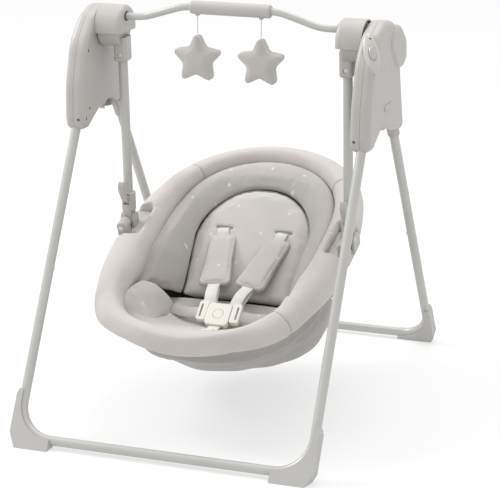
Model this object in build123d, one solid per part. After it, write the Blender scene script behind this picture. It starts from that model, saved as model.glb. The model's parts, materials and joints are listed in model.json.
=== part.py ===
from build123d import *
import os
from math import cos, radians, sin, tan

# A folding, battery-driven baby swing, in millimetres.  X runs across the swing, -Y is its
# front, Z is up, and the origin is on the floor under the middle of the stand.

# --- stand ---------------------------------------------------------------------------------
LEG_X = 296.5            # the legs lie in two upright planes
TUBE_R = 9.5
TUBE_WALL = 1.2
BASE_Y = 429.5           # each cross tube's distance from the middle
BASE_Z = 15.0            # height of the cross tubes' centre lines
BEND_R = 70.0
FRONT_LEAN = 29.3        # degrees from upright
REAR_LEAN = 31.9
FRONT_SEAM_Z = 293.0     # where the lower bow plugs into the upper leg tubes
REAR_SEAM_Z = 282.0
FRONT_LEG_TOP_Z = 640.0
SPIGOT = 45.0
FOOT_REACH = 92.0        # how far a foot cap runs up its leg
FOOT_HALF_THICK = 13.0

# --- drive housings ------------------------------------------------------------------------
HOUSING_IN, HOUSING_OUT = 276.0, 316.0
HOUSING_SPLIT = 296.0
HOUSING_WALL = 2.6
HOUSING_RIM_OUT, HOUSING_RIM_IN = 13.0, 10.0
BULGE_WALL = 2.4
SEAM_GAP = 0.5
FOLD_Z = 605.0           # height of the rear legs' fold pivots
FOLD_PIN_R = 4.0
KNUCKLE_R = 23.0
KNUCKLE_HALF = 13.5

# --- swing ---------------------------------------------------------------------------------
PIVOT_Y, PIVOT_Z = -26.0, 750.0
ARM_X = 236.5
ARM_LEAN = 3.3
DRUM_R = 39.0
COVER_R = 45.0
COVER_END = 222.0
COVER_BOTTOM_Z = 742.0
SHAFT_R = 7.0
RUNNING_GAP = 0.05
RECLINE_Z = 348.0        # height of the seat's recline pivots
RECLINE_PIN_R = 4.0

# --- seat ----------------------------------------------------------------------------------
SEAT_Y, SEAT_Z = -31.5, 308.0     # middle of the seat ring
SEAT_TILT = 19.4
RING_LONG, RING_WIDE = 330.0, 212.0     # half lengths of the ring tube's centre line
RING_END_R = 190.0
RING_TUBE_R = 7.0
BUMPER_W, BUMPER_H = 38.0, 34.0         # half width and half height of the padded rim
SLING_LEVELS = [         # n, half length, half width and end radius of the hanging seat
    (0, 326, 208, 186), (-60, 288, 203, 182), (-120, 228, 193, 172), (-190, 172, 168, 150), (-240, 145, 142, 126),
]
SLING_FLOOR_Z = 92.0     # height of the seat's underside above the floor
SLING_THICK = 4.0
SLOT_W = 65.0            # each shoulder strap's distance from the middle at its slot
WEB_WIDTH = 25.0
WEB_THICK = 1.6

# --- toys ----------------------------------------------------------------------------------
BAR_R = 7.2
BAR_Y, BAR_Z = -35.0, 774.0
BAR_CREST_Z = 800.0
TOY_X = (-70.0, 63.0)
STRING_LEN = 35.0
STRING_R = 1.0
STAR_R = 57.0
STAR_THICK = 30.0

SOFT_GAP = 0.6           # clearance between soft parts
CLEAR = 0.3              # clearance between moving parts


def on_yz(x):
    """Sketch plane facing +X at the given x: local x is Y and local y is Z."""
    return Plane(origin=(x, 0, 0), x_dir=(0, 1, 0), z_dir=(1, 0, 0))


def rod_x(y, z, radius, x0, x1):
    """A round bar along X."""
    return extrude(on_yz(x0) * Pos(y, z) * Circle(radius), amount=x1 - x0)


def ring_x(y, z, outer, inner, x0, x1):
    return rod_x(y, z, outer, x0, x1) - rod_x(y, z, inner, x0 - 1, x1 + 1)


def box_between(x, y, z):
    """A box from the three (low, high) ranges."""
    return Pos((x[0] + x[1]) / 2, (y[0] + y[1]) / 2, (z[0] + z[1]) / 2) * Box(x[1] - x[0], y[1] - y[0], z[1] - z[0])


def soften(solid, edges, radius):
    """Fillet the edges, with a smaller radius where the full one doesn't fit."""
    for share in (1.0, 0.6, 0.3):
        try:
            rounded = fillet(edges, radius * share)
            if rounded.is_valid:
                return rounded
        except Exception:
            continue
    return solid


def largest(shape):
    return shape.solids().sort_by(SortBy.VOLUME)[-1]


def mirror_x(shape):
    return mirror(shape, about=Plane.YZ)


def save(name, shape):
    """Write one node; a part with more than one solid is written as a compound of them."""
    solids = shape.solids()
    shape = solids[0] if len(solids) == 1 else Compound(children=list(solids))
    shape.label = name
    export_step(shape, f"parts/{name}.step")


def save_sides(stem, right):
    """Write a part of the right side and its mirror image on the left, one node each."""
    save(f"{stem}_right", right)
    save(f"{stem}_left", mirror_x(right))


def both(right):
    """A part of the right side together with its mirror image, for one node."""
    return Compound(children=[*right.solids(), *mirror_x(right).solids()])


# --- stand: bows, legs and feet --------------------------------------------------------------
def leg_plane(side, lean):
    """Plane of one bow: origin at the cross tube's middle, local x along X, local y up the legs."""
    up = (0, -side * sin(radians(lean)), cos(radians(lean)))
    return Plane(origin=(0, side * BASE_Y, BASE_Z), x_dir=(1, 0, 0), z_dir=Vector(1, 0, 0).cross(Vector(*up)))


def up_leg(lean, z):
    """Distance up a leg from the cross tube's centre line to a height."""
    return (z - BASE_Z) / cos(radians(lean))


def leg_y(side, lean, z):
    """Y of a leg's centre line at a height."""
    return side * (BASE_Y - (z - BASE_Z) * tan(radians(lean)))


def straight_tube(plane, x, start, end, outer, inner):
    base = Plane(origin=plane.from_local_coords((x, start, 0)), z_dir=plane.y_dir)
    tube = extrude(base * Circle(outer), amount=end - start)
    return tube - extrude(base.offset(-1) * Circle(inner), amount=end - start + 2)


def bow_path(plane, top):
    corners = [(-LEG_X, top), (-LEG_X, 0), (LEG_X, 0), (LEG_X, top)]
    points = [plane.from_local_coords((x, y, 0)) for x, y in corners]
    return FilletPolyline(*points, radius=BEND_R)


def bow(plane, top, outer, inner):
    path = bow_path(plane, top)
    start = Plane(origin=path @ 0, z_dir=path % 0)
    return sweep(start * (Circle(outer) - Circle(inner)), path=path)


def base_tube(side, lean, seam_z):
    """Bent lower bow with a reduced spigot at each end that plugs into the upper leg."""
    plane = leg_plane(side, lean)
    seam = up_leg(lean, seam_z)
    tube = bow(plane, seam, TUBE_R, TUBE_R - TUBE_WALL)
    bore = TUBE_R - 2 * TUBE_WALL
    for x in (-LEG_X, LEG_X):
        tube += straight_tube(plane, x, seam - 6, seam, TUBE_R, bore)
        tube += straight_tube(plane, x, seam - 3, seam + SPIGOT, TUBE_R - TUBE_WALL - 0.1, bore)
        tube -= snap_hole(plane, x, seam, 3.2)
    return tube


def snap_hole(plane, x, seam, radius):
    """Hole for a snap button, on the side of the leg that faces the seat."""
    centre = plane.from_local_coords((x, seam + 16, 0))
    inward = -1 if x > 0 else 1
    return Pos(x + inward * TUBE_R, centre.Y, centre.Z) * Rot(0, 90, 0) * Cylinder(radius, 12)


def leg_tube(side, lean, seam_z, top_z):
    plane = leg_plane(side, lean)
    seam = up_leg(lean, seam_z)
    tube = straight_tube(plane, LEG_X, seam, up_leg(lean, top_z), TUBE_R, TUBE_R - TUBE_WALL)
    return tube - snap_hole(plane, LEG_X, seam, 3.2)


def snap_button(side, lean, seam_z):
    """Domed spring button that locks the leg's two tubes."""
    centre = leg_plane(side, lean).from_local_coords((LEG_X, up_leg(lean, seam_z) + 16, 0))
    stem = rod_x(centre.Y, centre.Z, 2.9, LEG_X - TUBE_R - 2.5, LEG_X - 2)
    crown = stem.faces().sort_by(Axis.X)[0].edges()
    return soften(stem, crown, 2.0)


def foot_cap(side, lean):
    """Triangular corner foot that fills the outside of the bend and rests on the floor."""
    plane = leg_plane(side, lean)
    edge = LEG_X + 12
    floor_reach = BASE_Z / cos(radians(lean)) + 10
    inner_x = LEG_X - BEND_R
    outline = Polyline((LEG_X, BEND_R), (LEG_X, FOOT_REACH), (edge - 4, FOOT_REACH), (edge, FOOT_REACH - 12),
                       (edge, 6), (edge - 16, -floor_reach), (inner_x - 2, -floor_reach), (inner_x - 2, 0),
                       (inner_x, 0))
    bend = CenterArc((inner_x, BEND_R), BEND_R, -90, 90)
    face = make_face(outline.edges() + bend.edges())
    cap = extrude(plane * face, amount=FOOT_HALF_THICK, both=True)
    across = Axis(plane.origin, plane.z_dir)
    cap = soften(cap, cap.edges().filter_by(GeomType.LINE).filter_by(across), 3)
    cap -= bow(plane, 200, TUBE_R + 0.05, 0.001)
    below = box_between((0, 2 * LEG_X), (side * BASE_Y - 200, side * BASE_Y + 200), (-100, 0))
    cap -= below
    return cap.solids().sort_by(SortBy.VOLUME)[-1]


# --- drive housings --------------------------------------------------------------------------
HOUSING_OUTLINE = [       # corners (y, z) of a housing's side profile, with the radius of each
    ((-136, 648), 120), ((-112, 730), 90), ((-66, 777), 60), ((-20, 793), 60), ((32, 786), 45),
    ((66, 742), 60), ((80, 672), 80), ((110, 556), 16), ((84, 556), 12), ((9, 567), 20),
    ((-42, 588), 20), ((-104, 556), 14), ((-132, 557), 14), ((-139, 582), 30),
]
BULGE_OUTLINE = [         # the same for the rounded bulge at a housing's rear top
    ((-10, 744), 20), ((12, 772), 30), ((60, 776), 40), ((104, 742), 30), ((110, 700), 16),
    ((84, 684), 20), ((40, 688), 40),
]


def rounded_face(outline, grow=0.0):
    """Face inside a closed outline of rounded corners, moved outwards by grow."""
    corners, radii = zip(*outline)
    face = make_face(FilletPolyline(*corners, radius=list(radii), close=True))
    return offset(face, amount=grow) if grow else face


def rounded_block(outline, x0, x1, grow, outer_radius, inner_radius):
    """The outline extruded along X, with both of its rims rounded."""
    block = extrude(on_yz(x0) * rounded_face(outline, grow), amount=x1 - x0)
    block = soften(block, block.faces().sort_by(Axis.X)[-1].edges(), outer_radius)
    return soften(block, block.faces().sort_by(Axis.X)[0].edges(), inner_radius)


def housing_block(inset=0.0):
    x0, x1 = HOUSING_IN + inset, HOUSING_OUT - inset
    return rounded_block(HOUSING_OUTLINE, x0, x1, -inset, HOUSING_RIM_OUT - inset, HOUSING_RIM_IN - inset)


def housing_mouth():
    """Opening under the housing that the rear leg swings through."""
    return box_between((HOUSING_IN + HOUSING_WALL, HOUSING_OUT - HOUSING_WALL), (-14, 140), (500, 592))


def leg_passage():
    """Clearance for the front leg's tube, a close fit so that the tube is held."""
    plane = leg_plane(-1, FRONT_LEAN)
    base = Plane(origin=plane.from_local_coords((LEG_X, up_leg(FRONT_LEAN, 500), 0)), z_dir=plane.y_dir)
    return extrude(base * Circle(TUBE_R + 0.1), amount=300)


def fold_pivot():
    return leg_y(1, REAR_LEAN, FOLD_Z), FOLD_Z


def battery_bulge(grow=0.0):
    """Rounded bulge at the housing's rear top, round the batteries."""
    x0, x1 = HOUSING_IN + 4 - grow, HOUSING_OUT + 4 + grow
    return rounded_block(BULGE_OUTLINE, x0, x1, grow, 11 + grow, 11 + grow)


PANEL_CENTRE = (303.0, -92.0, 742.0)
PANEL_TURN, PANEL_RISE = 34.0, 33.0     # the panel faces outwards and a little up


def panel_place():
    """Frame of the control panel: local z leaves its face, local y runs up it."""
    turn, rise = radians(PANEL_TURN), radians(PANEL_RISE)
    out = Vector(sin(turn) * cos(rise), -cos(turn) * cos(rise), sin(rise))
    across = Vector(0, 0, 1).cross(out).normalized()
    return Plane(origin=PANEL_CENTRE, x_dir=across, z_dir=out)


def egg(a, b, c):
    return scale(Sphere(1), by=(a, b, c))


def panel_blank(grow=0.0):
    return panel_place().location * egg(16 + grow, 42 + grow, 11 + grow)


def power_button_blank(grow=0.0):
    button = extrude(Ellipse(7.5 + grow, 14.5 + grow), amount=13.5 + grow)
    return panel_place().location * Pos(0, -3, -1) * button


def fold_button_blank(grow=0.0):
    shape = SlotOverall(48 + 2 * grow, 13 + 2 * grow)
    return extrude(on_yz(HOUSING_OUT - 12) * Pos(-15, 625) * shape, amount=14 + grow)


SIDE_SCREWS_YZ = [(-101, 712), (-101, 596), (-118, 578), (44, 583)]
FRONT_SCREW = (285.0, -138.8, 579.0)
SCREW_HEAD_R = 2.8
SCREW_DEPTH = 1.6


def screws(radius, depth, sunk):
    """Round plugs at each screw of the right-hand housing: their own faces lie this far sunk."""
    x, y, z = FRONT_SCREW
    front = Pos(x, y + sunk + depth / 2, z) * Rot(90, 0, 0) * Cylinder(radius, depth)
    side = [rod_x(y, z, radius, HOUSING_IN + sunk, HOUSING_IN + sunk + depth) for y, z in SIDE_SCREWS_YZ]
    return [front, *side]


def housing_halves(is_right):
    """Outer and inner shells of the right-hand housing; the left one has no control panel."""
    shell = housing_block() - housing_block(HOUSING_WALL)
    shell -= housing_mouth()
    shell -= battery_bulge(0.2)
    shell -= leg_passage()
    shell -= fold_button_blank(0.4)
    shell -= rod_x(PIVOT_Y, PIVOT_Z, SHAFT_R + 0.05, HOUSING_IN - 1, HOUSING_IN + HOUSING_WALL + 1)
    if is_right:
        shell -= panel_blank(0.3)
        shell -= power_button_blank(0.4)
    for hole in screws(SCREW_HEAD_R + 0.2, SCREW_DEPTH + 5, -5):
        shell -= hole
    arch = rod_x(0, 541, 57, HOUSING_IN - 1, HOUSING_IN + 6)
    outer = shell & box_between((HOUSING_SPLIT + SEAM_GAP / 2, 330), (-200, 200), (500, 850))
    inner = (shell - arch) & box_between((270, HOUSING_SPLIT - SEAM_GAP / 2), (-200, 200), (500, 850))
    return largest(outer), largest(inner)


def hub_cover():
    """Fixed round hood over the swing hub, open below where the arm comes out."""
    hood = rod_x(PIVOT_Y, PIVOT_Z, COVER_R, COVER_END, HOUSING_IN)
    hood = soften(hood, hood.faces().sort_by(Axis.X)[0].edges(), 10)
    hood -= rod_x(PIVOT_Y, PIVOT_Z, COVER_R - 3, COVER_END + 9, HOUSING_IN + 1)
    hood -= rod_x(BAR_Y, BAR_Z, BAR_R + 0.3, COVER_END - 1, COVER_END + 10)
    below = box_between((COVER_END - 5, HOUSING_IN + 5), (-100, 60), (600, COVER_BOTTOM_Z))
    hood -= below
    return largest(hood)


def bar_bush():
    """Dark ring in the hood's end that the toy bar turns in."""
    return ring_x(BAR_Y, BAR_Z, BAR_R + 2.4, BAR_R + 0.3, COVER_END - 2, COVER_END - 0.1)


def swing_shaft():
    shaft = rod_x(PIVOT_Y, PIVOT_Z, SHAFT_R, 246, HOUSING_IN + 14)
    flange = rod_x(PIVOT_Y, PIVOT_Z, SHAFT_R + 5, HOUSING_IN + HOUSING_WALL + 0.1, HOUSING_IN + HOUSING_WALL + 4)
    return shaft + flange


def arm_axis_y(z):
    return PIVOT_Y + (PIVOT_Z - z) * tan(radians(ARM_LEAN))


def arm_place(z):
    """Frame on the right arm's axis: local z runs down the arm."""
    down = (0, sin(radians(ARM_LEAN)), -cos(radians(ARM_LEAN)))
    return Plane(origin=(ARM_X, arm_axis_y(z), z), x_dir=(1, 0, 0), z_dir=down)


def arm_hub():
    """Moving hub: a drum on the shaft and a rounded socket that takes the arm's tube."""
    drum = rod_x(PIVOT_Y, PIVOT_Z, DRUM_R, COVER_END + 10, HOUSING_IN - 3)
    drum = soften(drum, drum.faces().sort_by(Axis.X)[0].edges(), 3)
    place = arm_place(PIVOT_Z - 19)
    block = extrude(place * RectangleRounded(28, 35, 7), amount=51)
    block = soften(block, block.faces().sort_by(Axis.Z)[0].edges(), 6)
    hub = drum + block
    hub -= rod_x(PIVOT_Y, PIVOT_Z, SHAFT_R + 3, 244, HOUSING_IN)
    socket = extrude(arm_place(PIVOT_Z - 34) * Circle(TUBE_R + 0.05), amount=60)
    hub -= socket
    hub -= hub_screw_hole(4.6, 5)
    hub -= rod_x(PIVOT_Y, PIVOT_Z - 27, 7, HOUSING_IN - 9, HOUSING_IN)
    return largest(hub)


def hub_screw_hole(radius, depth):
    face_y = arm_axis_y(694) - 17.5
    return Pos(ARM_X, face_y + depth / 2, 694) * Rot(90, 0, 0) * Cylinder(radius, depth + 1)


def hub_screw():
    """Domed screw in the front of the hub's socket."""
    face_y = arm_axis_y(694) - 17.5
    head = Pos(ARM_X, face_y + 3.3, 694) * Rot(90, 0, 0) * Cylinder(4.0, 2.6)
    slot_a = Pos(ARM_X, face_y + 2.2, 694) * Box(5, 1.2, 1)
    slot_b = Pos(ARM_X, face_y + 2.2, 694) * Box(1, 1.2, 5)
    return head - slot_a - slot_b


def hub_bearing():
    return ring_x(PIVOT_Y, PIVOT_Z, SHAFT_R + 3, SHAFT_R + RUNNING_GAP, 247, HOUSING_IN - 4)


def arm_tube():
    start, end = PIVOT_Z - 34, RECLINE_Z + 26
    length = (start - end) / cos(radians(ARM_LEAN))
    place = arm_place(start)
    tube = extrude(place * Circle(TUBE_R), amount=length)
    return tube - extrude(place.offset(-1) * Circle(TUBE_R - TUBE_WALL), amount=length + 2)


def arm_socket():
    """Plastic sleeve at the arm's foot, with the eye of the recline pivot."""
    top, eye_y = RECLINE_Z + 57, arm_axis_y(RECLINE_Z)
    length = (top - RECLINE_Z) / cos(radians(ARM_LEAN))
    place = arm_place(top)
    sleeve = extrude(place * RectangleRounded(27, 29, 11), amount=length)
    sleeve = soften(sleeve, sleeve.faces().sort_by(Axis.Z)[-1].edges(), 3)
    eye = rod_x(eye_y, RECLINE_Z, 13.5, ARM_X - 9, ARM_X + 9)
    waist = box_between((ARM_X + 9, ARM_X + 30), (eye_y - 40, eye_y + 40), (RECLINE_Z - 30, RECLINE_Z + 19))
    other = box_between((ARM_X - 30, ARM_X - 9), (eye_y - 40, eye_y + 40), (RECLINE_Z - 30, RECLINE_Z + 19))
    sleeve = sleeve - waist - other + eye
    sleeve -= extrude(place.offset(-1) * Circle(TUBE_R + 0.05), amount=top - RECLINE_Z - 24)
    sleeve -= rod_x(eye_y, RECLINE_Z, RECLINE_PIN_R + RUNNING_GAP, ARM_X - 20, ARM_X + 20)
    sleeve -= lever_slot()
    return largest(sleeve)


LEVER_Z = 391.0          # height of the recline lever's hinge, in the sleeve's front wall
LEVER_PIN_R = 1.8


def lever_hinge_y():
    return arm_axis_y(LEVER_Z) - 12


def lever_slot():
    """Room for the lever in the sleeve's front wall, with the holes for its pin."""
    y = lever_hinge_y()
    slot = box_between((ARM_X - 6.4, ARM_X + 6.4), (y - 8, y + 4), (LEVER_Z - 12, LEVER_Z + 12))
    return slot + rod_x(y, LEVER_Z, LEVER_PIN_R + RUNNING_GAP, ARM_X - 9.6, ARM_X + 9.6)


def recline_lever():
    """Hooked finger lever on a cross pin, leaning forward from the sleeve."""
    y = lever_hinge_y() - 0.5
    side = Spline((y, LEVER_Z - 8), (y - 8, LEVER_Z - 2), (y - 22, LEVER_Z + 16), (y - 28, LEVER_Z + 34),
                  (y - 23, LEVER_Z + 42), (y - 17, LEVER_Z + 37), (y - 17, LEVER_Z + 24), (y - 6, LEVER_Z + 10),
                  (y + 1, LEVER_Z + 6), (y + 2, LEVER_Z - 3), periodic=True)
    lever = extrude(on_yz(ARM_X - 6) * make_face(side), amount=12)
    lever = soften(lever, lever.edges(), 1.2)
    return lever + rod_x(lever_hinge_y(), LEVER_Z, LEVER_PIN_R, ARM_X - 9.5, ARM_X + 9.5)


# --- seat --------------------------------------------------------------------------------------
def seat_plane(n=0.0):
    """Plane of the seat ring: local x is X, local y runs up to the head end, local z leaves its top."""
    tilt = radians(SEAT_TILT)
    plane = Plane(origin=(0, SEAT_Y, SEAT_Z), x_dir=(1, 0, 0), z_dir=(0, -sin(tilt), cos(tilt)))
    return plane.offset(n)


def oval(half_l, half_w, end_r):
    """Closed oval of four tangent arcs, long side along y; end_r is the radius of its two ends."""
    end_u = half_l - end_r
    reach = (end_u ** 2 - (half_w - end_r) ** 2) / (2 * (half_w - end_r))
    side_r = half_w + reach
    touch = Vector(-reach, 0) + (Vector(0, end_u) - Vector(-reach, 0)).normalized() * side_r
    x, y = touch.X, touch.Y
    arcs = [ThreePointArc((x, y), (0, half_l), (-x, y)), ThreePointArc((-x, y), (-half_w, 0), (-x, -y)),
            ThreePointArc((-x, -y), (0, -half_l), (x, -y)), ThreePointArc((x, -y), (half_w, 0), (x, y))]
    return Wire([edge for arc in arcs for edge in arc.edges()])


def around_ring(section_w, section_h):
    """Closed solid of elliptical section swept round the ring, in local coordinates."""
    path = oval(RING_LONG, RING_WIDE, RING_END_R)
    start = Plane(origin=path @ 0, x_dir=(0, 0, 1), z_dir=path % 0)
    return sweep(start * Ellipse(section_h, section_w), path=path)


def in_seat(shape):
    return seat_plane().location * shape


def bowl(shrink=0.0, top_n=0.0):
    """Body of the hanging seat as one solid, level underneath, with straight sides up to top_n."""
    levels = [(n, half_l - shrink, half_w - shrink, end_r - shrink) for n, half_l, half_w, end_r in SLING_LEVELS]
    faces = [Pos(0, 0, n) * make_face(oval(*sizes)) for n, *sizes in levels]
    body = loft(faces, ruled=True)
    if top_n:
        body += extrude(faces[0], amount=top_n, dir=(0, 0, 1))
    floor_n = SLING_FLOOR_Z + shrink - SEAT_Z
    under = Rot(-SEAT_TILT, 0, 0) * Pos(0, 0, floor_n + 300) * Box(900, 1400, 600)
    return body & under


def seat_sling():
    """Fabric body of the seat, hung from the rim."""
    inner = bowl(SLING_THICK, 60)
    return largest(bowl() - inner - around_ring(BUMPER_W + SOFT_GAP, BUMPER_H + SOFT_GAP))


BACK_POINT = (131.0, -45.0)     # u and n of the shoulder slots on the back pad
BACK_SLOPE = 23.5               # degrees that the back rises from the ring's plane


def back_plane(offset_n=0.0):
    """Plane of the back pad's face, in the seat's local coordinates; local y runs up the back."""
    slope = radians(BACK_SLOPE)
    out = Vector(0, -sin(slope), cos(slope))
    origin = Vector(0, BACK_POINT[0], BACK_POINT[1]) + out * offset_n
    return Plane(origin=origin, x_dir=(1, 0, 0), z_dir=out)


PAD_ARCH = (121.0, 115.0, -12.0)        # half width, height of its round top and where that starts
PAD_FOOT = (108.0, -166.0)              # half width and height at its lower end


def pad_outline(grow=0.0):
    """Arch of the inner pad: round above, drawing in a little towards the seat."""
    half, top, spring = PAD_ARCH
    foot_half, foot = PAD_FOOT
    arch = Pos(0, spring) * Ellipse(half + grow, top + grow)
    arch += make_face(Polyline((-half - grow, spring), (half + grow, spring), (foot_half + grow, foot - grow),
                               (-foot_half - grow, foot - grow), close=True))
    return arch


def back_pad():
    """Arched inner pad behind the baby's back, with two slots for the shoulder straps."""
    lower = Pos(0, PAD_FOOT[1] - 100) * Rectangle(400, 200)
    pad = extrude(back_plane(-20).location * (pad_outline() - lower), amount=18)
    for w in (-SLOT_W, SLOT_W):
        pad -= extrude(back_plane(-22).location * (Pos(w, 0) * SlotOverall(34, 6)), amount=40)
    return largest(pad)


BOLSTER_FOOT = [(-21, -118), (-78, 4), (-78, 200), (-420, 200), (-420, -300), (-21, -300)]


def head_bolster():
    """Horseshoe cushion from one hip, over the head, to the other hip."""
    outline = Pos(0, 8) * Ellipse(176, 174) + Pos(0, -90) * Rectangle(352, 200)
    body = extrude(back_plane(-26).location * outline, amount=42)
    body -= extrude(back_plane(-30).location * pad_outline(1), amount=70)
    body -= extrude(on_yz(-250) * make_face(Polyline(*BOLSTER_FOOT, close=True)), amount=500)
    body -= around_ring(BUMPER_W + SOFT_GAP, BUMPER_H + SOFT_GAP)
    body = body & bowl_room(6)
    return largest(body)


def bowl_room(shrink):
    """Room for cushions inside the sling and the rim."""
    return bowl(shrink, 90)


CUSHION_TOP = [(-22, -124), (-60, -125), (-105, -118), (-150, -98), (-204, -58), (-262, -26)]
CUSHION_UNDER = [(-268, -48), (-204, -84), (-150, -124), (-105, -143), (-60, -150), (-22, -150)]


def seat_cushion():
    """Seat pad from the crease to the front of the rim, rising towards the feet."""
    section = make_face(Polyline(*CUSHION_TOP, *CUSHION_UNDER, close=True))
    pad = extrude(on_yz(-178) * section, amount=356)
    pad = pad & bowl_room(8)
    pad -= around_ring(BUMPER_W + SOFT_GAP, BUMPER_H + SOFT_GAP)
    pad -= Pos(0, -188, -50) * Box(40, 12, 100)
    return largest(pad)


WING_SIDE = [(-206, -56), (-186, -26), (-140, -12), (-100, -22), (-58, -96), (-80, -122), (-150, -110)]


def thigh_wing():
    """Soft wing beside the baby's hip, standing on the seat pad."""
    lobe = fillet(make_face(Polyline(*WING_SIDE, close=True)).vertices(), 14)
    wing = extrude(on_yz(122) * lobe, amount=30)
    wing = soften(wing, wing.edges().filter_by(GeomType.LINE, reverse=True), 6)
    raised = [(u, n + SOFT_GAP) for u, n in CUSHION_TOP]
    under = make_face(Polyline(*raised, (-300, -400), (0, -400), close=True))
    wing -= extrude(on_yz(100) * under, amount=80)
    wing -= around_ring(BUMPER_W + SOFT_GAP, BUMPER_H + SOFT_GAP)
    return largest(wing & bowl_room(6))


# --- harness -----------------------------------------------------------------------------------
BUCKLE_U, BUCKLE_N = -112.0, -81.0
BUCKLE_PITCH = 20.0


def harness_line():
    """Side view of a shoulder strap from its slot to the buckle: (u, n) at both ends."""
    return (BACK_POINT[0] - 2, BACK_POINT[1] + 3), (BUCKLE_U + 26, BUCKLE_N + 4)


def strap_plane(side):
    """Frame on a shoulder strap: local x across it, local y from the buckle up to the slot."""
    (u1, n1), (u0, n0) = harness_line()
    low = Vector(side * 27, u0, n0)
    high = Vector(side * SLOT_W, u1, n1)
    run = (high - low).normalized()
    across = (Vector(1, 0, 0) - run * run.X).normalized()
    return Plane(origin=low, x_dir=across, z_dir=across.cross(run)), (high - low).length


def shoulder_strap(side):
    place, length = strap_plane(side)
    strap = place.location * Pos(0, length / 2, 0) * Box(WEB_WIDTH, length, WEB_THICK)
    return largest(strap - buckle_clip(side) - buckle_body())


def shoulder_pad(side):
    """Padded sleeve on a shoulder strap."""
    place, length = strap_plane(side)
    blank = place.location * Pos(0, length * 0.58, 0) * extrude(RectangleRounded(54, 128, 9), amount=6.5, both=True)
    blank = soften(blank, blank.edges().filter_by(GeomType.LINE), 2.5)
    return blank - place.location * Pos(0, length / 2, 0) * Box(WEB_WIDTH + 1, length + 60, WEB_THICK + 0.6)


def buckle_place():
    pitch = radians(BUCKLE_PITCH)
    return Plane(origin=(0, BUCKLE_U, BUCKLE_N), x_dir=(1, 0, 0), z_dir=(0, -sin(pitch), cos(pitch)))


def buckle_body():
    body = extrude(RectangleRounded(50, 52, 9), amount=6.5, both=True)
    body = soften(body, body.faces().sort_by(Axis.Z)[-1].edges(), 2.5)
    body -= Pos(0, 0, 3.2) * Cylinder(11.4, 10)
    body -= Pos(0, 24, 0) * Box(60, 5, 3)
    return buckle_place().location * body


def buckle_clip(side):
    """Side clip that plugs into the buckle and carries the shoulder and waist webbing."""
    clip = Pos(side * 35.5, 6, 0) * extrude(RectangleRounded(20, 46, 6), amount=5, both=True)
    clip = soften(clip, clip.faces().sort_by(Axis.Z)[-1].edges(), 2)
    clip -= Pos(side * 38, 6, 0) * Box(4, 30, 20)
    return buckle_place().location * clip


def buckle_button():
    button = Pos(0, 0, 3.4) * Cylinder(11.0, 7.0)
    button = soften(button, button.faces().sort_by(Axis.Z)[-1].edges(), 1.5)
    return buckle_place().location * button


def crotch_strap():
    """Webbing from the buckle's lower edge down through the seat pad."""
    path = [(BUCKLE_U - 25.5, BUCKLE_N - 10), (-160, -86), (-187, -66), (-188, -92)]
    face = make_face(ribbon(path, WEB_THICK))
    solid = Plane(origin=(-17, 0, 0), x_dir=(0, 1, 0), z_dir=(1, 0, 0))
    return extrude(solid * face, amount=34)


def ribbon(points, thick):
    """Outline of a thin band on a run of points, offset to its upper side."""
    line = Polyline(*points)
    band = offset(line, amount=thick / 2, side=Side.BOTH)
    return band.edges()


def waist_strap(side):
    """Waist webbing from the clip to the side of the seat."""
    pts = [buckle_place().from_local_coords((side * 46, 2, 0)), Vector(side * 112, -70, -92)]
    run = (pts[1] - pts[0]).normalized()
    across = Vector(0, 1, 0.2)
    across = (across - run * across.dot(run)).normalized()
    place = Plane(origin=pts[0], x_dir=run, z_dir=run.cross(across))
    length = (pts[1] - pts[0]).length
    return largest(place.location * Pos(length / 2, 0, 0) * Box(length, WEB_WIDTH, WEB_THICK) - buckle_clip(side))


def harness_webbing():
    """The five straps of the harness: two over the shoulders, two round the waist, one below."""
    sides = [both(shoulder_strap(1)), both(waist_strap(1))]
    return Compound(children=[strap for pair in sides for strap in pair.solids()] + [crotch_strap()])


# --- rear legs' fold knuckles ----------------------------------------------------------------
def leg_knuckle():
    """Plastic end of a rear leg: a round eye on the fold pin and a sleeve over the tube."""
    y, z = fold_pivot()
    eye = rod_x(y, z, KNUCKLE_R, LEG_X - KNUCKLE_HALF, LEG_X + KNUCKLE_HALF)
    eye = soften(eye, eye.edges(), 3)
    plane = leg_plane(1, REAR_LEAN)
    top = up_leg(REAR_LEAN, FOLD_Z)
    base = Plane(origin=plane.from_local_coords((LEG_X, top - 72, 0)), z_dir=plane.y_dir)
    sleeve = extrude(base * Circle(TUBE_R + 3), amount=66)
    sleeve = soften(sleeve, sleeve.faces().sort_by(Axis.Z)[0].edges(), 2)
    knuckle = eye + sleeve
    knuckle -= extrude(base.offset(-1) * Circle(TUBE_R + 0.05), amount=73 - 12 / cos(radians(REAR_LEAN)))
    return largest(knuckle - rod_x(y, z, FOLD_PIN_R + RUNNING_GAP, 270, 330))


def fold_pin():
    y, z = fold_pivot()
    return rod_x(y, z, FOLD_PIN_R, HOUSING_IN + HOUSING_WALL, HOUSING_OUT - HOUSING_WALL)


def fold_button():
    """Long oval button on the housing's outer face; its stem reaches the fold lock."""
    shape = extrude(on_yz(HOUSING_OUT - 6) * Pos(-15, 625) * SlotOverall(47.4, 12.4), amount=8)
    return soften(shape, shape.faces().sort_by(Axis.X)[-1].edges(), 2)


# --- inside the housings -----------------------------------------------------------------------
def battery_shells():
    """Door and tray of the battery compartment: the two halves of the rear bulge."""
    shell = battery_bulge() - battery_bulge(-BULGE_WALL)
    door = shell & box_between((HOUSING_SPLIT + SEAM_GAP / 2, 340), (-60, 160), (600, 850))
    tray = shell & box_between((260, HOUSING_SPLIT - SEAM_GAP / 2), (-60, 160), (600, 850))
    return largest(door), largest(tray)


CELL_R, CELL_LEN = 7.2, 50.0


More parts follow.
